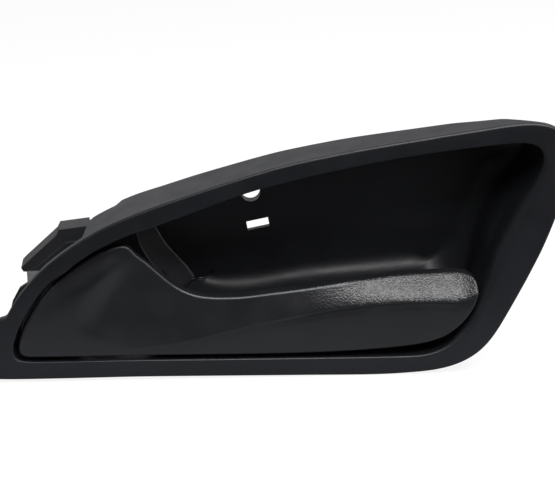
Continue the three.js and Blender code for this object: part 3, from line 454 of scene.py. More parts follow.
def prism(name, outline, axis, lo, hi, bevel=0.0, segments=2):
    """A flat outline pushed along an axis: 'y' takes (x, z), 'z' takes (x, y), 'x' takes (y, z)."""
    n = len(outline)
    o = np.array(outline, float)
    def put(h):
        hh = np.full(n, h)
        return {"y": np.stack([o[:, 0], hh, o[:, 1]], 1), "z": np.stack([o[:, 0], o[:, 1], hh], 1), "x": np.stack([hh, o[:, 0], o[:, 1]], 1)}[axis]
    verts = np.vstack([put(lo), put(hi)])
    faces = [list(range(n)), list(range(2 * n - 1, n - 1, -1))] + [[i, (i + 1) % n, (i + 1) % n + n, i + n] for i in range(n)]
    ob = new_object(name, verts, faces)
    if bevel:
        bm = bmesh.new()
        bm.from_mesh(ob.data)
        caps = [e for e in bm.edges if e.calc_face_angle(0) > math.radians(40)]
        bmesh.ops.bevel(bm, geom=caps, offset=bevel / 1000, segments=segments, profile=0.5, affect="EDGES", clamp_overlap=True)
        bm.to_mesh(ob.data)
        bm.free()
    return ob


def tube(name, path, radius, n=12):
    """A round wire along a path of points, with rounded ends."""
    p = np.array(path, float)
    t = np.gradient(p, axis=0)
    t /= np.linalg.norm(t, axis=1, keepdims=True)
    up = np.cross(t[0], [0.3, 0.5, 0.81])
    up /= np.linalg.norm(up)
    verts, faces = [], []
    rings_r = []
    for i in range(len(p)):
        up = up - t[i] * (up @ t[i])
        up /= np.linalg.norm(up)
        side = np.cross(t[i], up)
        rings_r.append((p[i], t[i], up.copy(), side))
    seq = [(rings_r[0], -radius * 0.95, 0.3), (rings_r[0], -radius * 0.6, 0.8)] + [(q, 0, 1) for q in rings_r] + [(rings_r[-1], radius * 0.6, 0.8), (rings_r[-1], radius * 0.95, 0.3)]
    for (c, tt, u, s), shift, k in seq:
        for j in range(n):
            a = 2 * math.pi * j / n
            verts.append(c + tt * shift + (u * math.cos(a) + s * math.sin(a)) * radius * k)
    for i in range(len(seq) - 1):
        for j in range(n):
            a, b = i * n + j, i * n + (j + 1) % n
            faces.append([a, b, b + n, a + n])
    faces.append(list(range(n)))
    faces.append([(len(seq) - 1) * n + j for j in range(n)])
    return new_object(name, verts, faces)


# ------------------------------------------------------------------ materials
def material(name):
    m = bpy.data.materials.new(name)
    m.use_nodes = True
    nt = m.node_tree
    nt.nodes.clear()
    out = nt.nodes.new("ShaderNodeOutputMaterial")
    b = nt.nodes.new("ShaderNodeBsdfPrincipled")
    nt.links.new(b.outputs[0], out.inputs[0])
    co = nt.nodes.new("ShaderNodeTexCoord")
    return m, nt, b, co.outputs["Object"]


def noise(nt, co, scale, detail=3.0, rough=0.55, stretch=None):
    if stretch:
        mp = nt.nodes.new("ShaderNodeMapping")
        mp.inputs["Scale"].default_value = stretch
        nt.links.new(co, mp.inputs["Vector"])
        co = mp.outputs[0]
    n = nt.nodes.new("ShaderNodeTexNoise")
    n.inputs["Scale"].default_value = scale
    n.inputs["Detail"].default_value = detail
    n.inputs["Roughness"].default_value = rough
    nt.links.new(co, n.inputs["Vector"])
    return n.outputs["Fac"]


def remap(nt, value, a, b, c, d):
    m = nt.nodes.new("ShaderNodeMapRange")
    m.inputs["From Min"].default_value, m.inputs["From Max"].default_value = a, b
    m.inputs["To Min"].default_value, m.inputs["To Max"].default_value = c, d
    nt.links.new(value, m.inputs["Value"])
    return m.outputs[0]


def mix_colour(nt, fac, a, b):
    m = nt.nodes.new("ShaderNodeMix")
    m.data_type = "RGBA"
    for k, v in ((6, a), (7, b)):
        if isinstance(v, tuple):
            m.inputs[k].default_value = (*v, 1)
        else:
            nt.links.new(v, m.inputs[k])
    nt.links.new(fac, m.inputs[0])
    return m.outputs[2]


def maths(nt, op, a, b):
    m = nt.nodes.new("ShaderNodeMath")
    m.operation = op
    for k, v in ((0, a), (1, b)):
        if isinstance(v, (int, float)):
            m.inputs[k].default_value = v
        else:
            nt.links.new(v, m.inputs[k])
    return m.outputs[0]


def bump(nt, height, strength, distance, normal=None):
    n = nt.nodes.new("ShaderNodeBump")
    n.inputs["Distance"].default_value = distance
    if isinstance(strength, (int, float)):
        n.inputs["Strength"].default_value = strength
    else:
        nt.links.new(strength, n.inputs["Strength"])
    nt.links.new(height, n.inputs["Height"])
    if normal is not None:
        nt.links.new(normal, n.inputs["Normal"])
    return n.outputs[0]


def plastic(name, base, rough, spec=0.5, fine=2600, fine_bump=0.3, vary=0.22, wear=1.5):
    m, nt, b, co = material(name)
    broad = remap(nt, noise(nt, co, 34, 3), 0.3, 0.7, 0, 1)
    speck = remap(nt, noise(nt, co, 900, 2), 0.35, 0.65, 0, 1)
    dark = tuple(c * (1 - vary) for c in base)
    light = tuple(c * (1 + vary) for c in base)
    colour = mix_colour(nt, maths(nt, "ADD", maths(nt, "MULTIPLY", broad, 0.65), maths(nt, "MULTIPLY", speck, 0.35)), dark, light)
    geo = nt.nodes.new("ShaderNodeNewGeometry")
    edges = remap(nt, geo.outputs["Pointiness"], 0.53, 0.62, 0, 1)
    colour = mix_colour(nt, maths(nt, "MULTIPLY", edges, remap(nt, noise(nt, co, 260, 3), 0.4, 0.65, 0.1, 0.8)), colour, tuple(min(1, c * wear) for c in base))
    nt.links.new(colour, b.inputs["Base Color"])
    rr = maths(nt, "ADD", remap(nt, noise(nt, co, 120, 4), 0.3, 0.7, rough - 0.045, rough + 0.05), maths(nt, "MULTIPLY", edges, -0.06))
    nt.links.new(rr, b.inputs["Roughness"])
    b.inputs["Specular IOR Level"].default_value = spec
    n1 = bump(nt, noise(nt, co, fine, 2, 0.6), fine_bump, 0.00004)
    n2 = bump(nt, noise(nt, co, 420, 3), 0.12, 0.0001, n1)
    nt.links.new(n2, b.inputs["Normal"])
    return m


def grip_plastic(name, base, rough, spec=0.5):
    """The lever's plastic: smooth on its lower face and pebbled like leather where the attribute 'grain' is 1, with
    painted shade darkening the crevices between the pebbles.
    """
    m, nt, b, co = material(name)
    at = nt.nodes.new("ShaderNodeAttribute")
    at.attribute_name = "grain"
    grain = at.outputs["Fac"]
    broad = remap(nt, noise(nt, co, 30, 3), 0.3, 0.7, 0, 1)
    colour = mix_colour(nt, broad, tuple(c * 0.82 for c in base), tuple(c * 1.2 for c in base))
    warp = nt.nodes.new("ShaderNodeTexNoise")
    warp.inputs["Scale"].default_value = 420
    warp.inputs["Detail"].default_value = 2
    nt.links.new(co, warp.inputs["Vector"])
    add = nt.nodes.new("ShaderNodeVectorMath")
    add.operation = "MULTIPLY_ADD"
    nt.links.new(warp.outputs["Color"], add.inputs[0])
    add.inputs[1].default_value = (0.0011, 0.0011, 0.0011)
    nt.links.new(co, add.inputs[2])
    cell = nt.nodes.new("ShaderNodeTexVoronoi")
    cell.feature = "DISTANCE_TO_EDGE"
    cell.inputs["Scale"].default_value = 980
    nt.links.new(add.outputs[0], cell.inputs["Vector"])
    pebble = remap(nt, cell.outputs["Distance"], 0.0, 0.32, 0, 1)
    small = noise(nt, co, 1500, 3, 0.6)
    # painted shade: the crevices between the pebbles are painted darker, down to 0.6 of the base colour, as far as the
    # grain attribute reaches
    colour = mix_colour(nt, maths(nt, "MULTIPLY", maths(nt, "SUBTRACT", 1.0, pebble), maths(nt, "MULTIPLY", grain, 0.35)), colour, tuple(c * 0.6 for c in base))
    nt.links.new(colour, b.inputs["Base Color"])
    nt.links.new(maths(nt, "ADD", remap(nt, noise(nt, co, 140, 3), 0.3, 0.7, rough - 0.03, rough + 0.04), maths(nt, "MULTIPLY", grain, -0.02)), b.inputs["Roughness"])
    b.inputs["Specular IOR Level"].default_value = spec
    n1 = bump(nt, maths(nt, "ADD", pebble, maths(nt, "MULTIPLY", small, 0.55)), maths(nt, "MULTIPLY", grain, 0.52), 0.00013)
    n2 = bump(nt, noise(nt, co, 2400, 2, 0.6), 0.22, 0.00004, n1)
    nt.links.new(n2, b.inputs["Normal"])
    return m


def metal(name, base, rough, stretch=(1, 1, 1), wear=0.75):
    m, nt, b, co = material(name)
    streak = remap(nt, noise(nt, co, 700, 4, 0.6, stretch), 0.3, 0.7, 0, 1)
    stain = remap(nt, noise(nt, co, 120, 4), 0.45, 0.7, 0, 1)
    colour = mix_colour(nt, streak, tuple(c * 0.86 for c in base), base)
    colour = mix_colour(nt, maths(nt, "MULTIPLY", stain, 0.45), colour, (base[0] * wear, base[1] * wear * 0.97, base[2] * wear * 0.9))
    nt.links.new(colour, b.inputs["Base Color"])
    b.inputs["Metallic"].default_value = 1.0
    nt.links.new(remap(nt, noise(nt, co, 300, 3, 0.6, stretch), 0.3, 0.7, rough - 0.08, rough + 0.1), b.inputs["Roughness"])
    nt.links.new(bump(nt, noise(nt, co, 1400, 3, 0.6, stretch), 0.2, 0.00004), b.inputs["Normal"])
    return m


def rubber_like(name, base, rough, scale, strength, distance, spec=0.3):
    m, nt, b, co = material(name)
    colour = mix_colour(nt, remap(nt, noise(nt, co, scale * 0.35, 3), 0.3, 0.7, 0, 1), tuple(c * 0.7 for c in base), tuple(c * 1.35 for c in base))
    nt.links.new(colour, b.inputs["Base Color"])
    nt.links.new(remap(nt, noise(nt, co, 200, 3), 0.3, 0.7, rough - 0.06, rough + 0.06), b.inputs["Roughness"])
    b.inputs["Specular IOR Level"].default_value = spec
    v = nt.nodes.new("ShaderNodeTexVoronoi")
    v.inputs["Scale"].default_value = scale
    nt.links.new(co, v.inputs["Vector"])
    nt.links.new(bump(nt, maths(nt, "ADD", v.outputs["Distance"], noise(nt, co, scale * 2, 2)), strength, distance), b.inputs["Normal"])
    return m


M_BEZEL = plastic("bezel_plastic", (0.0078, 0.0083, 0.0108), 0.45, spec=0.45)
M_LEVER = grip_plastic("lever_plastic", (0.0082, 0.0087, 0.0108), 0.39, spec=0.62)
M_INNER = plastic("inner_plastic", (0.018, 0.0185, 0.020), 0.5, spec=0.45, fine=1800, fine_bump=0.35)
M_STEEL = metal("zinc_plated_steel", (0.60, 0.61, 0.62), 0.34)
M_SPRING = metal("spring_steel", (0.36, 0.37, 0.38), 0.3, wear=0.6)
M_BUSH = plastic("bush_plastic", (0.62, 0.59, 0.50), 0.42, vary=0.06, fine=1500, wear=1.1)
M_CLIP = plastic("clip_plastic", (0.66, 0.64, 0.57), 0.4, vary=0.05, fine=1500, wear=1.1)
M_RUBBER = rubber_like("rubber", (0.016, 0.016, 0.017), 0.78, 900, 0.25, 0.00012)
M_FOAM = rubber_like("foam", (0.032, 0.032, 0.035), 0.92, 1300, 0.9, 0.0004, spec=0.15)


def dress(ob, mat, body, replaces=()):
    ob.data.materials.clear()
    ob.data.materials.append(mat)
    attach(ob, body)
    if replaces:
        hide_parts(*replaces)
    return ob


# ------------------------------------------------------------------ bezel
bezel = loft("bezel", rings)
adds, cuts = [], []
screw_at = [(-34, 12.6), (6, 12.6), (46, 13.5), (-42.2, 29.5)]
for i, (x, z) in enumerate(screw_at):
    adds.append(lathe(f"t{i}", "y", (x, 0, z), [(0, POCKET_Y + 1), (3.9, POCKET_Y + 1), (3.9, POCKET_Y + 2.4), (3.45, POCKET_Y + 3.4), (3.4, CAR_Y0 - 0.6), (3.1, CAR_Y0 - 0.3), (0, CAR_Y0 - 0.3)], 48))
top_of = lambda part, x: table(sorted(part[3]), x)
for x, d in [(-22, 15), (6, 13), (34, 11), (60, 8)]:
    adds.append(block("t", x - 0.7, x + 0.7, RIM_T - 0.6, RIM_T + d, top_of(RIM_IN, x) + 0.9, top_of(RIM_OUT, x) - 1.1, 0.15, 1))
for x in (-70, -48, -14, 20, 50):
    adds.append(block("t", x - 0.7, x + 0.7, RIM_T - 0.6, 14, 0.6, 5.0, 0.15, 1))
for x, z in ((-56, 1.4), (26, 0.9)):
    adds.append(block("t", x - 4, x + 4, 13.5, 24, z - 1.5, z + 0.1, 0.2, 2))
adds.append(lathe("t", "y", (SCREW_HOLE[0], 0, SCREW_HOLE[1]), [(0, CUP_Y + 1), (6.2, CUP_Y + 1), (6.2, CUP_BACK + 2.1), (5.9, CUP_BACK + 2.4), (0, CUP_BACK + 2.4)], 64))
carve(bezel, adds, "UNION")
cuts.append(block("c", -90.8, -46.5, 12.5, 24, 6.9, 33.6, 0.0))
cuts.append(block("c", -68, -54.5, 12.5, 24, 33, 38.4, 0.0))
for x, z in screw_at:
    cuts.append(lathe("c", "y", (x, 0, z), [(0, POCKET_Y + 4.5), (1.35, POCKET_Y + 4.5), (1.5, CAR_Y0 - 1.0), (1.9, CAR_Y0 + 0.2), (1.9, CAR_Y0 + 1), (0, CAR_Y0 + 1)], 36))
cuts.append(lathe("c", "y", (SCREW_HOLE[0], 0, SCREW_HOLE[1]), [(0, CUP_Y - 3), (SCREW_HOLE_R + 0.3, CUP_Y - 3), (SCREW_HOLE_R + 0.3, CUP_Y), (SCREW_HOLE_R, CUP_Y + 0.35), (SCREW_HOLE_R, CUP_BACK + 4), (0, CUP_BACK + 4)], 72))
cuts.append(prism("c", SLOT, "y", CUP_Y - 3, CUP_BACK + 3))
carve(bezel, cuts, "DIFFERENCE")
finish_mesh(bezel)
dress(bezel, M_BEZEL, "housing", ["bezel_housing"])

# ------------------------------------------------------------------ lever
LEVER_TOP = [(-90.5, 11.6), (-90.0, 14.2), (-89.2, 16.6), (-87.8, 19.9), (-84.1, 26.2), (-80.8, 30.6), (-77.2, 34.3), (-73.3, 37.6), (-69.4, 40.5), (-62.6, 44.8), (-57.5, 46.8), (-54.6, 47.6), (-52.6, 47.6), (-50.7, 46.6), (-49.3, 44.6), (-44.8, 40.6), (-39.4, 35.6), (-36.5, 33.1), (-33.9, 31.3), (-29.9, 29.4), (-26.6, 28.5), (-21.7, 28.0), (-16.5, 28.0), (-11.7, 28.2), (-3.1, 29.2), (8.2, 30.4), (25.9, 32.3), (31.2, 32.5), (41.8, 33.3), (54.4, 33.7), (63.2, 33.9), (67.3, 33.7), (69.7, 32.7), (70.5, 31.2), (70.7, 29.3)]
LEVER_BOTTOM = [(-90.5, 9.7), (-89.7, 8.4), (-88.3, 7.8), (-83.7, 7.6), (-50.4, 7.5), (8.0, 7.2), (30.9, 7.9), (48.2, 9.4), (54.4, 10.6), (60.0, 12.8), (65.0, 16.9), (68.4, 21.4), (70.2, 25.5), (70.7, 28.4)]
CREASE = [(-71.5, 21.5), (-70.7, 16.5), (-66.3, 12.7), (-60.5, 10.9), (-51.0, 10.8), (-39.9, 11.9), (-28.7, 13.6), (-17.5, 16.1), (-6.3, 18.6), (4.8, 20.7), (16.0, 22.5), (27.6, 24.2), (42.1, 25.4), (53.5, 25.7), (62.1, 25.2), (66.0, 25.6), (69.0, 27.0), (70.7, 28.8)]
RIDGE = [(-51.5, 47.2), (-58.3, 41.2), (-63.5, 35.3), (-67.7, 30.1), (-70.4, 24.8), (-71.5, 21.5), (-70.7, 16.5), (-66.3, 12.7), (-60.5, 10.9)]
AT_CREASE = [(-71, 0.3), (-45, 0.3), (-10, 0.25), (16, 0.15), (45, 0.1), (70, 0.1)]
AT_TOP = [(-60, 4.4), (-52, 4.2), (-45, 3.9), (-35, 3.3), (-25, 2.9), (-10, 2.5), (5, 2.8), (16, 3.8), (25, 5.1), (35, 7.0), (50, 8.7), (62, 8.7), (67, 7.2), (70, 4.3), (70.7, 2.4)]


def near_line(line, x, z):
    best, side = np.full(x.shape, 1e9), np.ones(x.shape)
    for (ax, az), (bx, bz) in zip(line, line[1:]):
        vx, vz = bx - ax, bz - az
        t = np.clip(((x - ax) * vx + (z - az) * vz) / (vx * vx + vz * vz), 0, 1)
        d = np.hypot(x - ax - vx * t, z - az - vz * t)
        s = np.where(vx * (z - az) - vz * (x - ax) >= 0, 1.0, -1.0)
        side = np.where(d < best, s, side)
        best = np.minimum(best, d)
    return best * side


ridge_line = resample(np.vstack([spline_loop(RIDGE + RIDGE[-2:0:-1], 10)[: 10 * (len(RIDGE) - 1) + 1]]), 60, True)
STEP = 0.5
GX, GZ = np.arange(-95, 77, STEP), np.arange(2, 55, STEP)
gx, gz = np.meshgrid(GX, GZ, indexing="ij")


def blur(a, mm):
    s = mm / STEP
    k = np.exp(-0.5 * (np.arange(-int(3 * s) - 1, int(3 * s) + 2) / s) ** 2)
    k /= k.sum()
    h = len(k) // 2
    for axis in (0, 1):
        pad = [(h, h) if i == axis else (0, 0) for i in (0, 1)]
        a = np.apply_along_axis(lambda v: np.convolve(v, k, "valid"), axis, np.pad(a, pad, mode="edge"))
    return a


zt, zb, zc = soft_table(LEVER_TOP, gx), soft_table(LEVER_BOTTOM, gx), soft_table(CREASE[3:], gx)
to_ridge = near_line([tuple(p) for p in ridge_line], gx, gz)
dive = 2.6 * np.where(gx < -50, smooth(1 - (zt - gz) / 9), 0) * smooth((gx + 84) / 10) * smooth((-46 - gx) / 8)
H_outer = blur(0.3 + dive, 1.6)
t_up = np.clip((gz - zc) / np.maximum(1, zt - zc), 0, 1)
bow = np.where(gx < 0, 0.35 * smooth(-gx / 30), -0.35 * smooth(gx / 40))
H_inner = lerp(soft_table(AT_CREASE, gx), soft_table(AT_TOP, gx), np.where(gx < 0, t_up, np.power(t_up, 1.15))) + bow * 4 * t_up * (1 - t_up)
H_inner = blur(H_inner, 1.2)
w_ridge = smooth(to_ridge / 10.0)
w_left = np.where((gx > -60.5) | (to_ridge > 0), w_ridge, 0)
w_left = blur(w_left, 0.9)
along_crease = smooth((gx + 66) / 22)


def sample(grid, x, z):
    u = np.clip((np.asarray(x) - GX[0]) / STEP, 0, len(GX) - 1.001)
    v = np.clip((np.asarray(z) - GZ[0]) / STEP, 0, len(GZ) - 1.001)
    i, j = u.astype(int), v.astype(int)
    fu, fv = u - i, v - j
    return (grid[i, j] * (1 - fu) + grid[i + 1, j] * fu) * (1 - fv) + (grid[i, j + 1] * (1 - fu) + grid[i + 1, j + 1] * fu) * fv


def lever_face(x, z):
    """Depth of the lever's face behind the rim's front plane."""
    x, z = np.asarray(x, float), np.asarray(z, float)
    c = soft_table(CREASE[3:], x)
    width = lerp(0.9, 0.4, smooth((x + 40) / 50))
    above = smooth((z - c) / width + 0.5)
    w = lerp(sample(w_left, x, z), above, smooth((x + 62) / 18))
    f = lerp(sample(H_outer, x, z), sample(H_inner, x, z), w)
    # the lower face starts a little behind the grip and eases forward below it
    cove = np.where(z < c, np.exp(-(((c - z) / 1.7) ** 2)), 1.0) * (1 - above) * (0.14 * smooth((x + 45) / 30) + 0.34 * smooth((x + 2) / 24)) * smooth((70.4 - x) / 2.5)
    return f + cove


outline = LEVER_BOTTOM + LEVER_TOP[::-1]
dense = spline_loop(outline, 16)
dense = np.vstack([dense, dense[:1]])
loop0 = relax(resample(dense, 640), 5)


def cdt_fill(loops, inner_pts, extra_edges=()):
    """Triangles over the area inside loops[0], through the points of every loop."""
    pts, edges = [], []
    for lp in loops:
        base = len(pts)
        pts += [tuple(p) for p in lp]
        edges += [(base + i, base + (i + 1) % len(lp)) for i in range(len(lp))]
    for line in extra_edges:
        base = len(pts)
        pts += [tuple(p) for p in line]
        edges += [(base + i, base + i + 1) for i in range(len(line) - 1)]
    pts += [tuple(p) for p in inner_pts]
    v, e, f, _, _, _ = delaunay_2d_cdt([Vector(p) for p in pts], edges, [], 1, 1e-5)
    return np.array([list(p) for p in v]), [list(t) for t in f]


def inside(poly, x, z):
    px, pz = poly[:, 0], poly[:, 1]
    c = np.zeros(len(x), bool)
    j = len(px) - 1
    for i in range(len(px)):
        hit = ((pz[i] > z) != (pz[j] > z)) & (x < (px[j] - px[i]) * (z - pz[i]) / (pz[j] - pz[i] + 1e-12) + px[i])
        c ^= hit
        j = i
    return c


def inset_loop(d):
    n = inward(loop0, 8)
    area = 0.5 * np.sum(loop0[:, 0] * np.roll(loop0[:, 1], -1) - np.roll(loop0[:, 0], -1) * loop0[:, 1])
    out = loop0 + n * d * (1 if area > 0 else -1)
    return relax(out, int(2 + d * 4))


EDGE_R = 0.95
ring_d = [0.0, 0.06, 0.2, 0.42, 0.7, EDGE_R, 1.5]
loops = [inset_loop(d) for d in ring_d]
hx, hz = np.meshgrid(np.arange(-91.5, 72, 0.72), np.arange(6, 50, 0.62), indexing="ij")
hx = hx + 0.36 * (np.arange(hx.shape[1]) % 2)[None]
hx, hz = hx.ravel(), hz.ravel()
crease_x = np.linspace(-50, 68.6, 240)
crease_z = soft_table(CREASE[3:], crease_x)
lines = [np.stack([crease_x, crease_z + o], 1) for o in (-1.15, -0.75, -0.45, -0.2, 0.05, 0.3)]
c_here = soft_table(CREASE[3:], hx)
keep = inside(inset_loop(1.95), hx, hz) & ~((np.abs(hz - c_here + 0.4) < 1.25) & (hx > -51) & (hx < 69.5))
lines = [l[inside(inset_loop(1.75), l[:, 0], l[:, 1])] for l in lines]
pts2, tris = cdt_fill(loops, np.stack([hx[keep], hz[keep]], 1), lines)
nb = len(loop0)
d_edge = np.full(len(pts2), 9.0)
for lp, d in zip(loops, ring_d):
    for a in range(0, len(pts2), 4000):
        q = pts2[a : a + 4000]
        near = np.min(np.hypot(q[:, None, 0] - lp[None, :, 0], q[:, None, 1] - lp[None, :, 1]), axis=1) < 1e-4
        d_edge[a : a + 4000] = np.where(near, d, d_edge[a : a + 4000])
drop = np.where(d_edge < EDGE_R, EDGE_R - np.sqrt(np.maximum(0, EDGE_R**2 - (EDGE_R - d_edge) ** 2)), 0)
y_front = lever_face(pts2[:, 0], pts2[:, 1]) + drop
lever_back = lambda x, f: np.maximum(lerp(6.2, 7.6, smooth((x + 46) / 12)), f + lerp(2.7, 4.4, smooth((x + 46) / 12)))


def nearest(lp, pts):
    return [int(np.argmin(np.hypot(pts[:, 0] - p[0], pts[:, 1] - p[1]))) for p in lp]


verts = [np.stack([pts2[:, 0], y_front, pts2[:, 1]], 1)]
faces = [t for t in tris]
border = nearest(loop0, pts2)
count = len(pts2)
f0 = lever_face(loop0[:, 0], loop0[:, 1])
yb = lever_back(loop0[:, 0], f0)
WALL_IN = 1.75
in1 = inset_loop(WALL_IN)
fi = lever_face(in1[:, 0], in1[:, 1])
yi = np.minimum(fi + 2.3, yb - 0.6)
wall = [ring_at(loop0, lerp(f0 + EDGE_R, yb - 0.4, 0.5)), ring_at(loop0, yb - 0.3), ring_at(inset_loop(0.3), yb), ring_at(inset_loop(WALL_IN - 0.25), yb), ring_at(in1, yb - 0.25), ring_at(in1, yi)]
for ringp in wall:
    verts.append(ringp)
chain = [border] + [list(range(count + k * nb, count + (k + 1) * nb)) for k in range(len(wall))]
for a, b in zip(chain, chain[1:]):
    for i in range(nb):
        j = (i + 1) % nb
        faces.append([a[i], a[j], b[j], b[i]])
count += len(wall) * nb
kin = inside(inset_loop(WALL_IN + 0.7), hx, hz) & (np.arange(len(hx)) % 3 == 0)
pts3, tris3 = cdt_fill([in1], np.stack([hx[kin], hz[kin]], 1))
y3 = np.minimum(lever_face(pts3[:, 0], pts3[:, 1]) + 2.3, lever_back(pts3[:, 0], lever_face(pts3[:, 0], pts3[:, 1])) - 0.6)
bi = nearest(in1, pts3)
remap_ids = {}
for i, q in enumerate(bi):
    remap_ids[q] = chain[-1][i]
ids, extra = [], []
for q in range(len(pts3)):
    if q in remap_ids:
        ids.append(remap_ids[q])
    else:
        ids.append(count + len(extra))
        extra.append([pts3[q, 0], y3[q], pts3[q, 1]])
verts.append(np.array(extra))
faces += [[ids[a] for a in t] for t in tris3]
lever = new_object("lever_shell", np.vstack(verts), faces)
lever_screws = [(-44, 21), (-8, 14.2), (34, 15.6)]
PLATE_Y = (8.3, 10.5)
adds, cuts = [], []
for x, z in lever_screws:
    f = float(lever_face(x, z))
    adds.append(lathe("t", "y", (x, 0, z), [(0, f + 1.6), (3.2, f + 1.6), (3.0, f + 3.2), (3.0, PLATE_Y[0] - 0.55), (2.8, PLATE_Y[0] - 0.35), (0, PLATE_Y[0] - 0.35)], 40))
    cuts.append(lathe("c", "y", (x, 0, z), [(0, f + 2.6), (1.4, f + 2.6), (1.45, PLATE_Y[0] + 1), (0, PLATE_Y[0] + 1)], 32))
carve(lever, adds, "UNION")
carve(lever, cuts, "DIFFERENCE")
finish_mesh(lever, angle=42)
co = np.array([v.co[:] for v in lever.data.vertices]) * 1000 + PAD
above = smooth((co[:, 2] - soft_table(CREASE[3:], co[:, 0]) - 0.1) / 0.6)
grain = smooth((co[:, 0] + 6) / 34) * above * smooth((11 - co[:, 1]) / 1.5)
grain = np.maximum(grain, 0.10)
ga = lever.data.attributes.new("grain", "FLOAT", "POINT")
ga.data.foreach_set("value", grain.astype(np.float32))
dress(lever, M_LEVER, "lever", ["lever_front_shell"])


# ------------------------------------------------------------------ CAD nodes that keep their shape
def keep_node(name, mat, bevel=0.22):
    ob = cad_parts[name]
    ob.data.materials.clear()
    ob.data.materials.append(mat)
    if bevel:
        w = ob.modifiers.new("weld", "WELD")
        w.merge_threshold = 2e-6
        d = ob.modifiers.new("flat", "DECIMATE")
        d.decimate_type, d.angle_limit = "DISSOLVE", math.radians(1.5)
        b = ob.modifiers.new("edges", "BEVEL")
        b.width, b.segments, b.limit_method, b.angle_limit = bevel / 1000, 2, "ANGLE", math.radians(32)
        b.use_clamp_overlap, b.harden_normals, b.miter_outer = True, False, "MITER_ARC"
    return ob


keep_node("rear_carrier", M_INNER)
keep_node("lever_carrier", M_INNER)


# ------------------------------------------------------------------ small parts
def screw(name, x, z, y_head, length, rs, rh, body, node):
    """Pan head with a cross recess and a coarse plastic-tapping thread. The head points to +y."""
    hd = 1.7
    prof = [(0, y_head + hd)]
    for q in range(1, 9):
        a = math.pi / 2 * q / 8
        prof.append((rh * 0.96 * math.sin(a) ** 0.9, y_head + 0.35 + (hd - 0.35) * math.cos(a) ** 0.75))
    prof += [(rh, y_head + 0.3), (rh, y_head + 0.12), (rh - 0.15, y_head), (rs + 0.35, y_head), (rs + 0.05, y_head - 0.35)]
    turns_pitch = 1.1
    lo = y_head - length
    steps = int(length / turns_pitch * 12)
    for q in range(steps + 1):
        prof.append((rs, lerp(y_head - 0.5, lo + 0.9, q / steps)))
    prof += [(rs * 0.65, lo + 0.35), (0.25, lo), (0, lo)]
    n = 40

    def thread(a, h, rad):
        if h > y_head - 0.45 or h < lo + 0.8 or abs(rad - rs) > 1e-6:
            return 0.0
        ph = ((h / turns_pitch + a / (2 * math.pi)) % 1.0) - 0.5
        fade = min(1, (y_head - 0.45 - h) / 0.6, (h - lo - 0.8) / 0.6)
        return max(0.0, 0.3 - abs(ph) * 1.3) * max(0, fade) - 0.08

    ob = lathe(name, "y", (x, 0, z), prof, n, thread)
    tools = []
    for k in range(2):
        w = 0.42
        arm = rh * 0.62
        a, b = (arm, w) if k == 0 else (w, arm)
        top, bot = y_head + hd + 0.5, y_head + hd - 1.15
        v = []
        for y, s in ((bot, 0.35), (top, 1.12)):
            aa = a * s if k == 0 else a * (0.75 if y == bot else 1.1)
            bb = b * s if k == 1 else b * (0.75 if y == bot else 1.1)
            v += [(x - aa, y, z - bb), (x + aa, y, z - bb), (x + aa, y, z + bb), (x - aa, y, z + bb)]
        tools.append(new_object("c", v, [[0, 1, 2, 3], [4, 5, 6, 7], [0, 1, 5, 4], [1, 2, 6, 5], [2, 3, 7, 6], [3, 0, 4, 7]]))
    carve(ob, tools, "DIFFERENCE")
    finish_mesh(ob, 40)
    return dress(ob, M_STEEL, body, [node])


for i, (x, z) in enumerate(screw_at):
    screw(f"carrier_screw_{i + 1}_detail", x, z, CAR_Y1 + 0.3, 9.5, 1.05, 3.0, "housing", f"carrier_screw_{i + 1}")
for i, (x, z) in enumerate(lever_screws):
    f = float(lever_face(x, z))
    screw(f"lever_screw_{i + 1}_detail", x, z, PLATE_Y[1] + 0.3, PLATE_Y[1] - 2.9 - f, 1.0, 2.6, "lever", f"lever_screw_{i + 1}")

pin_prof = [(0, 9.2), (1.9, 9.2), (2.15, 9.3), (2.4, 9.55), (2.4, 9.9), (1.9, 9.9), (1.9, 10.5), (2.4, 10.5)] + [(2.4, h) for h in np.linspace(11.2, 37.4, 12)] + [(2.4, 38.0), (3.65, 38.0), (3.8, 38.15), (3.8, 38.9), (3.6, 39.3), (3.0, 39.52), (2.0, 39.6), (1.0, 39.6), (0.9, 39.45), (0, 39.4)]
pin = finish_mesh(lathe("hinge_pin_detail", "z", (AX, AY, 0), pin_prof, 72), 40)
dress(pin, M_STEEL, "housing", ["hinge_pin"])

ring_pts = []
open_a = math.radians(27)
arc_a = np.linspace(-math.pi / 2 + open_a, 1.5 * math.pi - open_a, 60)
for a in arc_a:
    ring_pts.append((3.4 * math.cos(a), 3.4 * math.sin(a)))
for a in arc_a[::-1]:
    lug = max(math.exp(-((a - c) / 0.2) ** 2) for c in (arc_a[0] + 0.15, math.pi / 2, arc_a[-1] - 0.15))
    q = 2.6 - 0.45 * min(1, lug * 1.3)
    ring_pts.append((q * math.cos(a), q * math.sin(a)))
eclip = finish_mesh(prism("pin_retaining_clip_detail", [(AX + x, AY + y) for x, y in ring_pts], "z", 9.98, 10.42, 0.08, 1), 40)
dress(eclip, M_SPRING, "housing", ["pin_retaining_clip"])

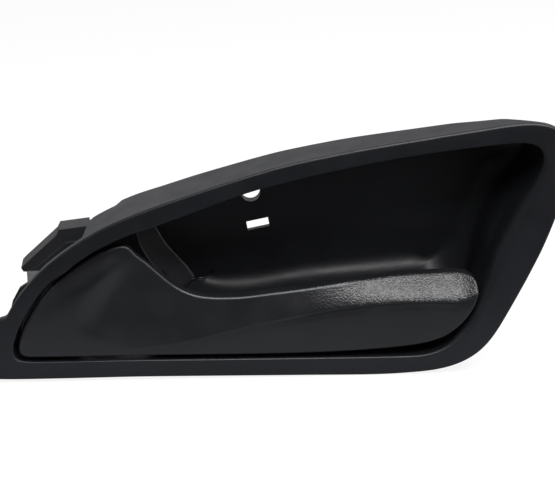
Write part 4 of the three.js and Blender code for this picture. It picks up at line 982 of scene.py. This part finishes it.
# return spring: its lower leg pushes on the lever's carrier, and its upper leg stands in the rear carrier
coil = []
turns_deg = SPRING_TURNS * 360 + 90
for a in np.arange(0, turns_deg + 0.1, 7.5):
    t = a / turns_deg
    q = math.radians(a) + math.pi / 2
    coil.append((AX + SPRING_R * math.cos(q), AY + SPRING_R * math.sin(q), lerp(SPRING_Z[0], SPRING_Z[1], t)))
end_a = math.radians(turns_deg) + math.pi / 2
x_end = AX + SPRING_R * math.cos(end_a)
leg_a = [(AX + 10.5, AY + SPRING_R + 0.3, SPRING_Z[0]), (AX + 8.4, AY + SPRING_R + 0.27, SPRING_Z[0]), (AX + 6.2, AY + SPRING_R + 0.2, SPRING_Z[0]), (AX + 4.0, AY + SPRING_R + 0.12, SPRING_Z[0]), (AX + 2.0, AY + SPRING_R + 0.03, SPRING_Z[0])]
leg_b = [(x_end - 0.02, AY + 2.2, SPRING_Z[1]), (x_end - 0.06, AY + 5.0, SPRING_Z[1]), (x_end - 0.1, AY + 9.0, SPRING_Z[1]), (x_end - 0.1, AY + 12.3, SPRING_Z[1]), (x_end - 0.1, AY + 15.5, SPRING_Z[1])]
spring = finish_mesh(tube("return_spring_detail", leg_a + coil + leg_b, SPRING_WIRE, 14), 60, weighted=False)
spring.data.materials.append(M_SPRING)
tuple(place((AX, AY, SPRING_Z[1] - 0.3)))
tuple(place((AX, AY, SPRING_Z[0] + 0.3)))
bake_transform(spring)
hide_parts("return_spring")

stop_prof = [(0, 13.5), (1.3, 13.5), (1.85, 13.62), (2.15, 13.85), (2.2, 14.1), (2.75, 14.1), (2.95, 14.25), (3.0, 14.6), (2.8, 15.1), (2.8, 15.7), (3.0, 16.2), (3.0, 16.5), (2.85, 16.7), (0, 16.7)]
closed_stop = finish_mesh(lathe("closed_stop_buffer_detail", "y", (26, 0, 12.8), stop_prof, 64), 50)
dress(closed_stop, M_RUBBER, "housing", ["closed_stop_buffer"])

open_stop = block("open_stop_buffer_detail", -44.3, -39.6, 25.0, 30.6, 16.4, 21.2, 0.5, 4)
grooves = [block("c", -45.5, -38.5, 24.0, 25.5, z - 0.3, z + 0.3) for z in (17.6, 18.8, 20.0)]
carve(open_stop, grooves, "DIFFERENCE")
finish_mesh(open_stop, 40)
dress(open_stop, M_RUBBER, "housing", ["open_stop_buffer"])

CY = AY + ARM_LEN - 0.4
clip_prof = [(1.3, -89.7), (1.6, -90.0), (2.6, -90.0), (2.95, -89.6), (2.95, -87.4), (4.2, -87.4), (4.4, -87.2), (4.4, -85.7), (4.2, -85.5), (2.95, -85.5), (2.95, -82.3), (4.2, -82.3), (4.4, -82.1), (4.4, -80.8), (4.2, -80.6), (2.95, -80.6), (2.95, -79.0), (2.6, -78.5), (1.6, -78.5), (1.3, -78.8)]
conduit = lathe("cable_conduit_clip_detail", "x", (0, CY, 18.6), clip_prof, 56)
carve(conduit, [block("c", -91, -87.9, CY - 0.35, CY + 0.35, 10, 27), block("c", -80.1, -77, CY - 0.35, CY + 0.35, 10, 27)], "DIFFERENCE")
finish_mesh(conduit, 40)
dress(conduit, M_CLIP, "housing", ["cable_conduit_clip"])

for i, (x, z) in enumerate(((-56, 1.4), (26, 0.9))):
    o = [(16.7, z - 2.45), (24.6, z - 2.45), (25.3, z - 1.75), (25.3, z + 0.4), (24.6, z + 1.1), (17.6, z + 1.1), (17.0, z + 0.95), (17.0, z + 0.62), (17.5, z + 0.5), (24.2, z + 0.5), (24.6, z + 0.1), (24.6, z - 1.45), (24.2, z - 1.85), (16.7, z - 1.85)]
    tc = prism(f"trim_clip_{i + 1}_detail", o, "x", x - 3.4, x + 3.4, 0.12, 2)
    carve(tc, [block("c", x - 1.5, x + 1.5, 15.0, 22.0, z - 3.0, z - 1.4), block("c", x - 1.2, x + 1.2, 15.0, 18.4, z + 0.2, z + 1.6)], "DIFFERENCE")
    finish_mesh(tc, 40)
    dress(tc, M_SPRING, "housing", [f"trim_clip_{i + 1}"])

for name, (x0, x1, z0, z1), seed in (("anti_rattle_pad_upper", (-34, -8, 25, 34), 3), ("anti_rattle_pad_lower", (-24, -4, 9.4, 15.6), 8)):
    y0, y1 = CAR_Y1 + 0.3, PAD[1] - 0.6
    rng = np.random.default_rng(seed)
    nx, nz, ny = int((x1 - x0) * 2.2), int((z1 - z0) * 2.2), 14
    bm = bmesh.new()
    bmesh.ops.create_cube(bm, size=1)
    pad_v, pad_f, index = [], [], {}
    def vid(i, j, k):
        if (i, j, k) not in index:
            index[(i, j, k)] = len(pad_v)
            pad_v.append([i / nx, j / ny, k / nz])
        return index[(i, j, k)]
    bm.free()
    for i in range(nx):
        for j in range(ny):
            for k in (0, nz):
                pad_f.append([vid(i, j, k), vid(i + 1, j, k), vid(i + 1, j + 1, k), vid(i, j + 1, k)])
    for i in range(nx):
        for k in range(nz):
            for j in (0, ny):
                pad_f.append([vid(i, j, k), vid(i + 1, j, k), vid(i + 1, j, k + 1), vid(i, j, k + 1)])
    for j in range(ny):
        for k in range(nz):
            for i in (0, nx):
                pad_f.append([vid(i, j, k), vid(i, j + 1, k), vid(i, j + 1, k + 1), vid(i, j, k + 1)])
    v = np.array(pad_v)
    size = np.array([x1 - x0, y1 - y0, z1 - z0])
    p = v * size
    rad = 1.1
    core = np.clip(p, rad, size - rad)
    off = p - core
    ln = np.linalg.norm(off, axis=1, keepdims=True)
    p = np.where(ln > 1e-6, core + off / np.maximum(ln, 1e-6) * np.minimum(ln, rad), p)
    waist = 1 - 0.05 * np.sin(math.pi * v[:, 1])
    mid = size / 2
    p[:, 0] = mid[0] + (p[:, 0] - mid[0]) * waist
    p[:, 2] = mid[2] + (p[:, 2] - mid[2]) * waist
    ph = rng.uniform(0, 6.28, 6)
    lump = 0.16 * (np.sin(p[:, 0] * 0.9 + ph[0]) * np.sin(p[:, 2] * 1.1 + ph[1]) + 0.6 * np.sin(p[:, 0] * 2.1 + ph[2]) * np.sin(p[:, 2] * 1.9 + ph[3]))
    p[:, 1] -= np.abs(lump) * smooth(v[:, 1] * 2 - 0.8)
    pad = new_object(name + "_foam", p + np.array([x0, y0, z0]), pad_f)
    finish_mesh(pad, 60, weighted=False)
    dress(pad, M_FOAM, "housing", [name])

for name, (z0, z1) in (("hinge_bush_lower", KN_LO), ("hinge_bush_upper", KN_HI)):
    a, b = z0 + 0.1, z1 - 0.1
    bush = finish_mesh(lathe(name + "_detail", "z", (AX, AY, 0), [(2.78, a), (2.98, a), (3.1, a + 0.12), (3.1, b - 0.12), (2.98, b), (2.78, b), (2.7, b - 0.1), (2.7, a + 0.1)], 56), 40)
    dress(bush, M_BUSH, "lever", [name])

NY = AY + ARM_LEN - 0.4
nip = finish_mesh(lathe("cable_nipple_collar_detail", "z", (AX, NY, 0), [(0.8, 15.75), (0.95, 15.6), (2.2, 15.6), (2.4, 15.8), (2.4, 16.7), (2.2, 16.9), (1.55, 16.9), (1.55, 20.3), (2.7, 20.3), (2.9, 20.5), (2.9, 21.2), (2.7, 21.4), (0.95, 21.4), (0.8, 21.25)], 48), 40)
dress(nip, M_CLIP, "lever", ["cable_nipple_collar"])

# ------------------------------------------------------------------ floor, light and camera
lo, hi = CAD_BOX
floor_z = lo[2] - 0.0003
me = bpy.data.meshes.new("floor")
me.from_pydata([(-6, -6, floor_z), (6, -6, floor_z), (6, 6, floor_z), (-6, 6, floor_z)], [], [(0, 1, 2, 3)])
floor = bpy.data.objects.new("floor", me)
scene.collection.objects.link(floor)
fm = bpy.data.materials.new("floor_paper")
fm.use_nodes = True
nt = fm.node_tree
nt.nodes.clear()
out = nt.nodes.new("ShaderNodeOutputMaterial")
seen = nt.nodes.new("ShaderNodeBsdfDiffuse")
seen.inputs["Color"].default_value = (0.16, 0.16, 0.16, 1)
glow = nt.nodes.new("ShaderNodeEmission")
glow.inputs["Color"].default_value = (1, 1, 1, 1)
glow.inputs["Strength"].default_value = 0.88
both = nt.nodes.new("ShaderNodeAddShader")
nt.links.new(seen.outputs[0], both.inputs[0])
nt.links.new(glow.outputs[0], both.inputs[1])
unseen = nt.nodes.new("ShaderNodeBsdfDiffuse")
where = nt.nodes.new("ShaderNodeTexCoord")
apart = nt.nodes.new("ShaderNodeSeparateXYZ")
nt.links.new(where.outputs["Object"], apart.inputs[0])
unseen.inputs["Color"].default_value = (0.02, 0.02, 0.02, 1)
sheen = nt.nodes.new("ShaderNodeEmission")
sheen.inputs["Color"].default_value = (0.97, 0.99, 1.06, 1)
before = remap(nt, apart.outputs["Y"], -0.125, -0.095, 0.0, 1.0)
behind = remap(nt, apart.outputs["Y"], -0.05, -0.03, 0.43, 0.17)
nt.links.new(maths(nt, "MULTIPLY", before, behind), sheen.inputs["Strength"])
paper = nt.nodes.new("ShaderNodeAddShader")
nt.links.new(unseen.outputs[0], paper.inputs[0])
nt.links.new(sheen.outputs[0], paper.inputs[1])
path = nt.nodes.new("ShaderNodeLightPath")
mix = nt.nodes.new("ShaderNodeMixShader")
nt.links.new(path.outputs["Is Camera Ray"], mix.inputs[0])
nt.links.new(paper.outputs[0], mix.inputs[1])
nt.links.new(both.outputs[0], mix.inputs[2])
nt.links.new(mix.outputs[0], out.inputs[0])
me.materials.append(fm)

world = bpy.data.worlds.new("studio")
scene.world = world
world.use_nodes = True
nt = world.node_tree
nt.nodes.clear()
out = nt.nodes.new("ShaderNodeOutputWorld")
bg = nt.nodes.new("ShaderNodeBackground")
path = nt.nodes.new("ShaderNodeLightPath")
sky = nt.nodes.new("ShaderNodeTexCoord")
apart = nt.nodes.new("ShaderNodeSeparateXYZ")
nt.links.new(sky.outputs["Generated"], apart.inputs[0])
low_part = remap(nt, apart.outputs["Z"], 0.52, 0.72, 1.0, 0.0)
back_part = remap(nt, apart.outputs["Y"], -0.05, 0.12, 0.0, 0.64)
dim = maths(nt, "ADD", 0.03, maths(nt, "MULTIPLY", low_part, back_part))
strength = nt.nodes.new("ShaderNodeMix")
nt.links.new(path.outputs["Is Camera Ray"], strength.inputs[0])
nt.links.new(dim, strength.inputs[2])
strength.inputs[3].default_value = 1.0
nt.links.new(strength.outputs[0], bg.inputs["Strength"])
bg.inputs["Color"].default_value = (0.97, 0.97, 0.99, 1)
nt.links.new(bg.outputs[0], out.inputs[0])


def soft_light(name, where, aim, width, height, power):
    l = bpy.data.lights.new(name, "AREA")
    l.shape, l.size, l.size_y, l.energy = "RECTANGLE", width, height, power
    ob = bpy.data.objects.new(name, l)
    scene.collection.objects.link(ob)
    ob.location = where
    ob.rotation_mode = "QUATERNION"
    ob.rotation_quaternion = (Vector(aim) - Vector(where)).to_track_quat("-Z", "Y")
    return ob


soft_light("overhead_front", (0.21, -0.638, 0.80), (0.21, -0.638, 0.0), 0.84, 0.311, 8.0)
soft_light("overhead", (0.21, -0.251, 0.80), (0.21, -0.251, 0.0), 0.84, 0.462, 8.6)
soft_light("side_fill", (1.1, -0.62, 0.36), (0.0, 0.0, 0.03), 1.15, 0.8, 5.2)
soft_light("left_fill", (-1.0, -0.55, 0.45), (0.0, 0.0, 0.03), 1.3, 0.9, 0.5)

cam = bpy.data.cameras.new("camera")
cam_ob = bpy.data.objects.new("camera", cam)
scene.collection.objects.link(cam_ob)
scene.camera = cam_ob
azimuth, elevation, distance = math.radians(-3), math.radians(20), 0.650
target = Vector((-0.020, -0.040, 0.0153))
toward = Vector((math.sin(azimuth) * math.cos(elevation), -math.cos(azimuth) * math.cos(elevation), math.sin(elevation)))
cam_ob.location = target + toward * distance
cam_ob.rotation_mode = "QUATERNION"
cam_ob.rotation_quaternion = (-toward).to_track_quat("-Z", "Y")
cam.sensor_width = 36
cam.lens = 2.9 * 650 * 36 / 555
cam.clip_start, cam.clip_end = 0.02, 30

bpy.context.view_layer.update()
